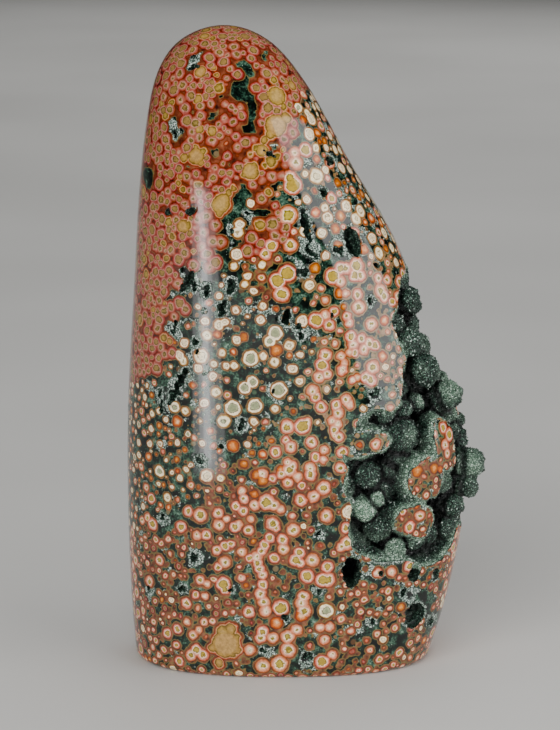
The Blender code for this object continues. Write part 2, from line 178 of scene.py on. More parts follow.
@dataclass(frozen=True)
class StoneForm:
    """The polished envelope: sections of the plan, joined by a spline up the stone."""

    squareness: float = 2.45  # the power of the plan's rounded outline, which is 2 in an ellipse
    base_edge: float = 1.4  # how far the edge of the base is rounded, in mm
    base_share: float = 0.10  # the share of the way up that runs over the base
    edge_share: float = 0.05  # and the share that goes round its edge
    fine_rows: int = 400
    probe: float = 0.2  # how far apart the slope is read, in mm
    # Height as a share of the whole, then left, right, front and back of the plan.
    sections: tuple = (
        (0.000, -32.2, 23.6, -18.8, 18.4),
        (0.085, -33.0, 26.7, -19.5, 18.9),
        (0.200, -33.5, 29.6, -19.9, 19.2),
        (0.300, -33.6, 30.8, -20.0, 19.2),
        (0.400, -33.4, 28.8, -19.8, 18.8),
        (0.500, -32.8, 23.4, -19.4, 18.2),
        (0.600, -32.0, 20.0, -18.7, 17.3),
        (0.700, -31.3, 14.7, -17.7, 16.0),
        (0.790, -30.4, 8.2, -16.3, 14.4),
        (0.875, -29.0, 2.7, -14.2, 12.2),
        (0.938, -26.8, -2.3, -11.1, 9.2),
        (0.978, -22.9, -7.1, -7.2, 5.5),
        (1.000, -15.0, -15.0, -0.9, -0.9),
    )
    fine: np.ndarray = field(init=False, repr=False, compare=False)

    def __post_init__(self) -> None:
        """Joins the sections into the fine rows that everything else reads."""
        rows = np.array(self.sections)
        rows[:, 0] *= HEIGHT
        over = rows[-2:-5:-1][:, [0, 2, 1, 4, 3]]
        rows = np.concatenate([rows, over])
        step = np.linalg.norm(np.diff(rows[:, :3], axis=0) * (1, 0.5, 0.5), axis=1)
        knots = np.concatenate([[0], np.cumsum(step)])
        top = knots[len(self.sections) - 1]
        fine = curve_through(knots, rows, np.linspace(0, top, self.fine_rows))
        fine[0, 0], fine[-1, 0] = 0.0, HEIGHT
        object.__setattr__(self, "fine", fine)

    def section_at(self, z: np.ndarray) -> np.ndarray:
        """Left, right, front and back of the plan at each height."""
        return np.stack([np.interp(z, self.fine[:, 0], c) for c in self.fine.T[1:]])

    def outline(self, row: np.ndarray, turn: np.ndarray, inset: np.ndarray) -> np.ndarray:
        """Points of the plan's outline.

        Args:
            row: left, right, front and back for each point.
            turn: the angle of each point round the plan.
            inset: how far each point is pulled in.

        Returns:
            X and Y of each point.
        """
        left, right, front, back = row
        half_x = np.maximum((right - left) / 2 - inset, 0)
        half_y = np.maximum((back - front) / 2 - inset, 0)
        power = 2 / self.squareness
        x = np.sign(np.cos(turn)) * np.abs(np.cos(turn)) ** power
        y = np.sign(np.sin(turn)) * np.abs(np.sin(turn)) ** power
        return np.stack([(left + right) / 2 + half_x * x, (front + back) / 2 + half_y * y], 1)

    def points(self, way: np.ndarray, turn: np.ndarray) -> np.ndarray:
        """Points of the surface.

        Args:
            way: from 0, the middle of the base, to 1, the top.
            turn: the angle round the plan.

        Returns:
            One point for each pair.
        """
        wall_starts = self.base_share + self.edge_share
        place = np.linspace(0, 1, self.fine_rows)
        bend = np.clip((way - self.base_share) / self.edge_share, 0, 1) * math.pi / 2
        first = np.interp(self.base_edge, self.fine[:, 0], place)
        wall = first + (1 - first) * np.clip((way - wall_starts) / (1 - wall_starts), 0, 1)
        wall_z = np.interp(wall, place, self.fine[:, 0])
        z = np.where(way < wall_starts, self.base_edge * (1 - np.cos(bend)), wall_z)
        on_wall = way >= wall_starts
        row_high = np.stack([np.interp(wall, place, c) for c in self.fine.T[1:]])
        row = np.where(on_wall, row_high, self.section_at(z))
        inset = np.where(on_wall, 0.0, self.base_edge * (1 - np.sin(bend)))
        flat = self.outline(row, turn, inset)
        middle = np.stack([(row[0] + row[1]) / 2, (row[2] + row[3]) / 2], 1)
        share = np.clip(way / self.base_share, 0, 1)[:, None]
        return np.concatenate([middle + (flat - middle) * share, z[:, None]], 1)

    def front(self, x: np.ndarray | float, z: np.ndarray | float) -> np.ndarray:
        """Finds points of the front face.

        Args:
            x: how far across each point is.
            z: how high it is.

        Returns:
            The points.
        """
        x, z = np.asarray(x), np.asarray(z)
        left, right, front, back = self.section_at(z)
        across = np.abs(x - (left + right) / 2) / ((right - left) / 2)
        reach = np.maximum(0.0, 1 - across**self.squareness) ** (1 / self.squareness)
        return np.stack([x, (front + back) / 2 - (back - front) / 2 * reach, z], -1)

    def level(self, points: np.ndarray) -> np.ndarray:
        """Tells how far out points are.

        Args:
            points: points in or near the stone.

        Returns:
            For each 0 on the axis, 1 on the surface and more outside.
        """
        left, right, front, back = self.section_at(points[:, 2])
        x = np.abs(points[:, 0] - (left + right) / 2) / np.maximum((right - left) / 2, 1e-6)
        y = np.abs(points[:, 1] - (front + back) / 2) / np.maximum((back - front) / 2, 1e-6)
        return (x**self.squareness + y**self.squareness) ** (1 / self.squareness)

    def slope(self, points: np.ndarray) -> np.ndarray:
        """Measures how the level rises.

        Args:
            points: points in or near the stone.

        Returns:
            Its gradient at each, per mm.
        """
        moves = np.eye(3) * self.probe
        ahead = [self.level(points + m) - self.level(points - m) for m in moves]
        return np.stack(ahead, 1) / (2 * self.probe)

    def inward(self, points: np.ndarray) -> np.ndarray:
        """The direction into the stone at each point of its surface."""
        slope = self.slope(points)
        return -slope / np.linalg.norm(slope, axis=1)[:, None]

    def depth(self, points: np.ndarray) -> np.ndarray:
        """About how far each point lies below the surface, in mm."""
        steep = np.linalg.norm(self.slope(points), axis=1)
        return (1 - self.level(points)) / np.maximum(steep, 1e-6)

    def frame_at(self, point: np.ndarray, depth: float, lean: float) -> Matrix:
        """A place below a point of the surface.

        Args:
            point: the point of the surface.
            depth: how far in the place is.
            lean: its turn in the plane of the surface, in degrees.

        Returns:
            A matrix whose Y leads into the stone and whose Z leads up the face.
        """
        into = Vector(self.inward(point[None])[0])
        square = into.to_track_quat("Y", "Z").to_matrix().to_4x4()
        turn = Matrix.Rotation(math.radians(lean), 4, "Y")
        return Matrix.Translation(Vector(point) + into * depth) @ square @ turn


FORM = StoneForm()


@dataclass(frozen=True)
class Sight:
    """The photograph's view of the stone: its frame in pixels, its lens and where it stood."""

    wide: int = 560
    high: int = 730
    lens: float = 156.9
    film: float = 36.0
    rise: float = 12.0  # how far it looks down, in degrees
    far: float = 600.0  # from what it aims at, in mm
    aim: tuple = (-4.8, 0.4, 55.84)
    first_guess: float = -18.0  # about where the front face is, in y
    ease: float = 0.6  # the share of each correction that is taken
    steps: int = 20

    def way(self) -> Vector:
        """The direction of view."""
        rise = math.radians(self.rise)
        return Vector((0, math.cos(rise), -math.sin(rise)))

    def place(self) -> Vector:
        """Where the camera stands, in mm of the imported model."""
        return Vector(self.aim) - self.way() * self.far

    def on_face(self, px: float, py: float) -> np.ndarray:
        """Finds the point of the front face that a pixel shows.

        Args:
            px: the pixel's place from the left of the frame.
            py: its place from the top.

        Returns:
            The point, in the stone's own mm.
        """
        way, start = self.way(), self.place() - Vector(SHIFT)
        pixels = self.lens / self.film * self.high
        up = Vector((0, -way.z, way.y)) * (self.high / 2 - py)
        ray = way + (Vector((px - self.wide / 2, 0, 0)) + up) / pixels
        deep = self.first_guess
        for _ in range(self.steps):
            spot = start + ray * ((deep - start.y) / ray.y)
            face = FORM.front(spot.x, np.clip(spot.z, 0.5, HEIGHT - 1.0))
            deep += self.ease * (face[1] - deep)
        return face


SIGHT = Sight()


def made_mesh(name: str, bm: bmesh.types.BMesh) -> Mesh:
    """Turns a bmesh into a mesh.

    Args:
        name: the name of the mesh.
        bm: the bmesh; it is freed.

    Returns:
        The mesh.
    """
    mesh = bpy.data.meshes.new(name)
    bm.to_mesh(mesh)
    bm.free()
    return mesh


def vectors(items: bpy.types.bpy_prop_collection, name: str) -> np.ndarray:
    """Reads a vector of each vertex or face of a mesh.

    Args:
        items: the vertices, faces or vertex normals.
        name: what is read, such as their middle.

    Returns:
        One row for each.
    """
    flat = np.empty(len(items) * 3)
    items.foreach_get(name, flat)
    return flat.reshape(-1, 3)


def coordinates(mesh: Mesh) -> np.ndarray:
    """The places of the mesh's vertices."""
    return vectors(mesh.vertices, "co")


def vertex_normals(mesh: Mesh) -> np.ndarray:
    """The normal at each vertex."""
    return vectors(mesh.vertex_normals, "vector")


def move_vertices(mesh: Mesh, places: np.ndarray) -> None:
    """Puts the mesh's vertices at new places."""
    mesh.vertices.foreach_set("co", places.ravel())
    mesh.update()


def ball(detail: int) -> bmesh.types.BMesh:
    """Makes a unit ball.

    Args:
        detail: how often the faces of an icosahedron are divided, plus one.

    Returns:
        The ball.
    """
    bm = bmesh.new()
    bmesh.ops.create_icosphere(bm, subdivisions=detail, radius=1)
    return bm


def globe(name: str, turns: int, rings: int) -> Mesh:
    """Makes a unit globe of even rings, to be shaped into a part of the stone.

    Args:
        name: the name of the mesh.
        turns: how many faces go round it.
        rings: how many go from pole to pole.

    Returns:
        The mesh.
    """
    bm = bmesh.new()
    bmesh.ops.create_uvsphere(bm, u_segments=turns, v_segments=rings, radius=1)
    return made_mesh(name, bm)


def stamp(name: str, template: bmesh.types.BMesh, places: np.ndarray) -> Mesh:
    """Joins many copies of a small shape into one mesh.

    Args:
        name: the name of the mesh.
        template: the shape; it is freed.
        places: a 4 by 4 matrix for each copy.

    Returns:
        The mesh, still in mm.
    """
    small = made_mesh(name, template)
    count = len(small.vertices)
    corners = np.c_[coordinates(small), np.ones(count)]
    verts = np.einsum("nij,vj->nvi", places, corners)[..., :3].reshape(-1, 3)
    faces = np.array([list(p.vertices) for p in small.polygons])
    steps = (np.arange(len(places)) * count)[:, None, None]
    joined = bpy.data.meshes.new(name)
    joined.from_pydata(verts, [], (faces[None] + steps).reshape(-1, faces.shape[1]))
    bpy.data.meshes.remove(small)
    return joined


def scaled_places(centres: np.ndarray, sizes: np.ndarray) -> np.ndarray:
    """Places copies of a unit shape.

    Args:
        centres: the middle of each copy.
        sizes: its size, or its sizes along X, Y and Z.

    Returns:
        A 4 by 4 matrix for each.
    """
    places = np.zeros((len(centres), 4, 4))
    for axis in range(3):
        places[:, axis, axis] = sizes if np.ndim(sizes) == 1 else sizes[:, axis]
    places[:, :3, 3] = centres
    places[:, 3, 3] = 1
    return places


def new_object(name: str, mesh: Mesh) -> Piece:
    """Links a mesh into the scene.

    Args:
        name: the name of the object.
        mesh: its mesh.

    Returns:
        The object.
    """
    made = bpy.data.objects.new(name, mesh)
    bpy.context.scene.collection.objects.link(made)
    return made


def evaluated(obj: Piece) -> Piece:
    """Makes the result of an object's modifiers its own mesh.

    Args:
        obj: the object, which loses its modifiers.

    Returns:
        The same object.
    """
    bpy.context.view_layer.update()
    graph = bpy.context.evaluated_depsgraph_get()
    mesh = bpy.data.meshes.new_from_object(obj.evaluated_get(graph), depsgraph=graph)
    obj.modifiers.clear()
    old, obj.data = obj.data, mesh
    bpy.data.meshes.remove(old)
    return obj


def one_skin(obj: Piece, voxel: float) -> Piece:
    """Makes overlapping shells one skin of even faces.

    Args:
        obj: the object that holds the shells.
        voxel: the size of the faces, in mm.

    Returns:
        The same object.
    """
    skin = obj.modifiers.new("one_skin", "REMESH")
    skin.mode = "VOXEL"
    skin.voxel_size = voxel
    return evaluated(obj)


def cut(obj: Piece, tool: Piece) -> None:
    """Takes one solid away from another.

    Args:
        obj: the solid that is cut.
        tool: the solid that is taken away from it.
    """
    step = obj.modifiers.new("cut", "BOOLEAN")
    step.operation = "DIFFERENCE"
    step.solver = "MANIFOLD"
    step.object = tool
    evaluated(obj)


def discard(*objs: Piece) -> None:
    """Removes helpers that have done their work.

    Args:
        objs: the helpers.
    """
    for obj in objs:
        mesh = obj.data
        bpy.data.objects.remove(obj)
        bpy.data.meshes.remove(mesh)


def store(mesh: Mesh, name: str, values: np.ndarray) -> None:
    """Writes an attribute that a material reads.

    Args:
        mesh: the mesh that gets it.
        name: the name the material asks for.
        values: a number for each vertex, or four for each face.
    """
    if values.ndim == 1:
        made = mesh.attributes.new(name, "FLOAT", "POINT")
        made.data.foreach_set("value", values.astype(np.float32))
    else:
        made = mesh.attributes.new(name, "FLOAT_COLOR", "FACE")
        made.data.foreach_set("color", values.astype(np.float32).ravel())


class Cells:
    """Spots sorted into cubes, so that neighbours are found at once."""

    def __init__(self, side: float) -> None:
        """Starts with no spots, in cubes of this side."""
        self.side = side
        self.cubes: dict = {}

    def cube(self, spot: np.ndarray) -> tuple:
        """The cube that holds a spot."""
        return tuple((spot // self.side).astype(int))

    def add(self, spot: np.ndarray, number: int) -> None:
        """Keeps a spot under its number."""
        self.cubes.setdefault(self.cube(spot), []).append(number)

    def near(self, spot: np.ndarray) -> list:
        """Finds the neighbours of a spot.

        Args:
            spot: the spot.

        Returns:
            The numbers of the spots in its cube and in those round it.
        """
        x, y, z = self.cube(spot)
        found = []
        for i, j, k in product((-1, 0, 1), repeat=3):
            found += self.cubes.get((x + i, y + j, z + k), [])
        return found


@dataclass(frozen=True)
class Pocket:
    """The open pocket down the right side: its bounds, its islands and its lumps."""

    depth: float = 6.2  # how far it reaches in from the polish, in mm
    # The rounded volumes that bound it: middle and half sizes.
    bounds: tuple = (
        (28.0, -4.5, 66.0, 14.0, 15.5, 12.5),
        (29.5, -4.0, 54.0, 15.5, 17.0, 11.0),
        (15.6, -20.0, 40.5, 9.0, 9.0, 11.6),
        (17.0, -19.5, 29.5, 9.6, 8.5, 7.5),
        (24.0, -17.0, 40.0, 10.5, 10.5, 17.0),
        (35.0, -1.0, 37.5, 10.0, 16.5, 15.0),
        (23.5, -14.0, 27.0, 8.0, 8.0, 6.5),
    )
    # Islands of polished stone left standing in it: x, z, half width, half height and lean.
    islands: tuple = (
        (26.1, 43.6, 2.7, 5.2, -12.0),
        (28.0, 49.6, 1.4, 3.3, -8.0),
        (10.6, 45.1, 4.9, 2.6, 0.0),
        (22.4, 37.4, 3.9, 4.2, 0.0),
        (20.3, 29.8, 4.1, 3.2, 20.0),
    )
    cover: tuple = (1.1, 1.05)  # an island's width and height over those of the solids
    stem: float = 9.0  # half the length of an island, in mm
    head: float = 5.0  # how far that reaches out past the polish, in mm
    core_start: float = 0.02  # the core's lower end, as a share of the way up
    core_reach: float = 0.9  # and how much of the way it goes
    core_faces: tuple = (90, 110)
    voxel: float = 0.8
    waves: tuple = (0.45, 0.16)  # heights of the long and short waves of its wall, in mm
    island_voxel: float = 0.5
    island_waves: tuple = (0.35, 0.18)
    # The large lumps seen from the front: x, z, depth and radius.
    lumps: tuple = (
        (19.3, 73.4, 1.0, 1.9), (19.6, 69.8, 0.8, 2.0), (18.3, 66.1, 2.8, 2.2), (19.9, 62.6, 1.0, 2.7),
        (17.9, 58.9, 3.6, 2.3), (22.5, 57.1, 0.8, 3.2), (18.5, 55.1, 4.0, 2.6), (26.6, 51.6, 0.0, 2.8),
        (22.4, 51.9, 3.6, 1.9), (19.6, 50.9, 3.4, 1.9), (14.8, 56.3, 2.4, 1.9), (15.4, 50.7, 2.6, 2.1),
        (19.0, 45.8, 4.2, 3.6), (10.4, 47.7, 4.6, 2.1), (18.1, 41.3, 4.6, 2.3), (16.5, 39.0, 5.0, 2.5),
        (11.9, 38.5, 3.4, 2.6), (15.4, 35.4, 4.4, 2.3), (9.0, 40.0, 4.2, 1.7), (11.2, 32.4, 2.4, 2.5),
        (13.4, 34.2, 1.6, 1.5), (14.3, 28.2, 3.6, 2.8), (18.4, 30.5, 4.0, 1.7), (28.3, 35.3, 3.6, 2.3),
        (30.6, 37.8, -0.6, 2.8), (30.4, 33.6, -0.2, 2.2), (28.6, 30.6, 1.2, 2.2), (27.8, 26.6, 1.4, 2.0),
        (24.5, 25.8, 2.8, 2.0), (21.4, 25.2, 2.4, 1.9), (17.3, 24.2, 2.2, 2.1),
    )
    seed: int = 7

    def holds(self, points: np.ndarray) -> np.ndarray:
        """Tells which points are in one of the rounded volumes.

        Args:
            points: the points.

        Returns:
            Whether each is inside.
        """
        inside = np.zeros(len(points), bool)
        for *centre, a, b, c in self.bounds:
            inside |= (((points - centre) / (a, b, c)) ** 2).sum(1) < 1
        return inside

    @staticmethod
    def ripple(mesh: Mesh, coarse: float, fine: float) -> None:
        """Roughens a cutter, so that it leaves a natural edge.

        Args:
            mesh: the cutter's mesh.
            coarse: height of the waves that are a few mm long.
            fine: height of the waves of about a millimetre.
        """
        spots = coordinates(mesh)
        swell = Waves(31, 5.0).at(spots) * coarse + Waves(32, 1.5).at(spots) * fine
        move_vertices(mesh, spots + vertex_normals(mesh) * swell[:, None])

    def cutter(self) -> Piece:
        """Makes the space of the pocket, with its islands left out of it.

        Returns:
            The solid that is cut from the stone.
        """
        rows = np.array(self.bounds)
        rounded = stamp("pocket", ball(4), scaled_places(rows[:, :3], rows[:, 3:]))
        space = one_skin(new_object("pocket", rounded), self.voxel)
        self.ripple(space.data, *self.waves)
        places = []
        for x, z, wide, high, lean in self.islands:
            frame = FORM.frame_at(FORM.front(x, z), self.stem - self.head, lean)
            size = (wide * self.cover[0], self.stem, high * self.cover[1], 1)
            places.append(np.array(frame @ Matrix.Diagonal(size)))
        joined = stamp("stems", ball(4), np.array(places))
        stems = one_skin(new_object("stems", joined), self.island_voxel)
        self.ripple(stems.data, *self.island_waves)
        middle = new_object("middle", self.core())
        cut(space, middle)
        cut(space, stems)
        discard(middle, stems)
        return space

    def core(self) -> Mesh:
        """Shapes the part of the stone that the pocket doesn't reach.

        Returns:
            The mesh of that part.
        """
        mesh = globe("core", *self.core_faces)
        unit = coordinates(mesh)
        height = 1 - np.arccos(np.clip(unit[:, 2], -1, 1)) / math.pi
        way = self.core_start + self.core_reach * height
        place = np.linspace(0, 1, FORM.fine_rows)
        z, *row = (np.interp(way, place, c) for c in FORM.fine.T)
        turn = np.arctan2(unit[:, 1], unit[:, 0])
        flat = FORM.outline(np.stack(row), turn, np.full(len(unit), self.depth))
        move_vertices(mesh, np.c_[flat, z])
        return mesh


@dataclass(frozen=True)
class Vug:
    """A small natural hollow that the polish cut open: its place, half sizes, lean and depth."""

    x: float
    z: float
    wide: float
    high: float
    lean: float
    deep: float


VUGS = (
    Vug(8.6, 81.9, 1.7, 2.9, -12, 3.6),
    Vug(4.4, 96.3, 1.1, 1.1, 0, 2.4),
    Vug(3.3, 90.9, 0.9, 0.8, 20, 2.2),
    Vug(0.0, 85.2, 0.8, 3.2, -14, 2.6),
    Vug(-3.6, 68.8, 0.9, 1.6, 14, 3.2),
    Vug(-23.4, 55.4, 0.8, 4.2, 26, 2.4),
    Vug(8.6, 20.8, 1.9, 3.2, 0, 6.0),
    Vug(20.4, 19.6, 1.4, 2.0, 8, 3.6),
    Vug(20.6, 10.8, 2.4, 2.6, -8, 3.4),
    Vug(24.6, 18.4, 0.9, 1.2, 0, 1.6),
    Vug(13.0, 77.4, 0.8, 0.6, 0, 1.4),
    Vug(-0.3, 77.1, 0.7, 1.0, 10, 1.6),
    Vug(-15.2, 70.1, 0.7, 1.6, 12, 1.8),
    Vug(-21.6, 74.6, 0.8, 2.2, 35, 1.8),
    Vug(-13.6, 74.8, 0.8, 1.0, -20, 1.8),
    Vug(-20.9, 87.6, 0.8, 0.7, 0, 1.4),
    Vug(-25.0, 87.2, 0.5, 0.6, 0, 1.2),
    Vug(-6.6, 98.2, 1.3, 0.4, 28, 1.2),
    Vug(-26.7, 51.0, 0.5, 1.3, 10, 1.4),
    Vug(-11.5, 48.8, 0.5, 0.9, 0, 1.4),
    Vug(-15.5, 44.5, 0.4, 0.8, 20, 1.2),
    Vug(-23.0, 16.6, 0.8, 0.7, 0, 1.4),
)


class Kind(IntEnum):
    """What a spherulite looks like when it is cut open."""

    ROSE = 0
    CREAM = 1
    EMBER = 2
    BLUSH = 3
    HONEY = 4
    EYE = 5


class Zone(IntEnum):
    """Parts of the stone that grew in their own way."""

    CROWN = 0
    DRIFT = 1
    FLANK = 2
    CORAL = 3
    MEADOW = 4
    FOOT = 5


@dataclass(frozen=True)
class Growth:
    """How the spherulites of a zone grew, and the stone between them."""

    radii: tuple  # the least and the most that shows of one, in mm
    spacing: tuple  # how close two may be, as a share of their radii
    kinds: dict  # the odds of each kind
    halo: float  # the width of the rust or fawn skirt round each, in mm
    tan: float  # how fawn that skirt is
    grain: float  # how much of the stone between them is sugary


GROWTH = {
    Zone.CROWN: Growth((0.75, 1.5), (0.52, 0.95), {Kind.ROSE: 0.9, Kind.HONEY: 0.1}, 1.5, 0.0, 0.0),
    Zone.DRIFT: Growth((0.26, 0.78), (1.0, 2.4), {
        Kind.CREAM: 0.46, Kind.EMBER: 0.28, Kind.BLUSH: 0.2, Kind.EYE: 0.06}, 0.2, 0.4, 0.36),
    Zone.FLANK: Growth((0.35, 1.3), (0.9, 2.1), {
        Kind.CREAM: 0.52, Kind.BLUSH: 0.3, Kind.EMBER: 0.18}, 0.16, 0.7, 0.42),
    Zone.CORAL: Growth((0.4, 1.5), (0.7, 1.5), {
        Kind.BLUSH: 0.78, Kind.EMBER: 0.1, Kind.CREAM: 0.12}, 0.3, 0.85, 0.3),
    Zone.MEADOW: Growth((0.4, 1.4), (0.66, 1.6), {
        Kind.BLUSH: 0.78, Kind.EMBER: 0.06, Kind.ROSE: 0.1, Kind.CREAM: 0.06}, 0.4, 0.15, 0.36),
    Zone.FOOT: Growth((0.5, 1.7), (0.7, 1.5), {
        Kind.BLUSH: 0.8, Kind.ROSE: 0.08, Kind.EMBER: 0.06, Kind.CREAM: 0.06}, 0.38, 0.25, 0.34),
}

# Places on the front face, x and z, from which each zone spreads to the next.
ZONE_SEEDS = (
    (Zone.CROWN, ((-20, 117), (-25, 105), (-14, 108), (-6, 116), (-21, 93), (-29, 85), (-9, 96))),
    (Zone.CROWN, ((-29, 73), (-6, 105), (-7, 86), (-30, 66), (-23, 84), (-5, 114), (-28, 115))),
    (Zone.DRIFT, ((-12, 86), (-19, 74), (-14, 74), (-17, 57), (-10, 62), (-23, 53), (-6, 55))),
    (Zone.DRIFT, ((-29, 45), (-20, 45), (-12, 47), (-27, 34), (-4, 66), (-22, 66), (-13, 80))),
    (Zone.FLANK, ((1, 103), (5, 91), (-1, 91), (8, 86), (14, 82), (3, 80), (0, 97))),
    (Zone.CORAL, ((6, 74), (12, 65), (6, 61), (8, 53), (3, 53), (-1, 47), (5, 43), (14, 74))),
    (Zone.MEADOW, ((-12, 34), (-6, 26), (-1, 38), (5, 34), (-20, 24), (-29, 20), (-10, 17))),
    (Zone.MEADOW, ((3, 22), (-25, 15), (-4, 76), (28, 26), (24, 14), (14, 16))),
    (Zone.FOOT, ((-29, 6), (-20, 7), (-10, 5), (-1, 7), (8, 7), (18, 5))),
)

DIP_FROM = -13.0  # y behind which the zones dip towards the back of the stone
DIP = (0.4, 0.45)  # how far they move along x and z for each mm behind that
WANDER = (8.0, 1.6)  # length and height of the waves in the borders of the zones, in mm


def zone_of(points: np.ndarray) -> np.ndarray:
    """The zone of each point: the nearest seed, with a wandering border.

    The zones run through the stone and dip towards its back.

    Args:
        points: points on or near the surface.

    Returns:
        The number of a zone for each.
    """
    length, height = WANDER
    moved = points + np.stack([Waves(41 + i, length).at(points) * height for i in range(3)], 1)
    dip = np.maximum(points[:, 1] - DIP_FROM, 0.0)
    x, z = moved[:, 0] + DIP[0] * dip, moved[:, 2] + DIP[1] * dip
    best = np.full(len(points), np.inf)
    zones = np.zeros(len(points), int)
    for zone, spots in ZONE_SEEDS:
        for seed_x, seed_z in spots:
            away = np.hypot(x - seed_x, z - seed_z)
            closer = away < best
            best[closer], zones[closer] = away[closer], int(zone)
    return zones
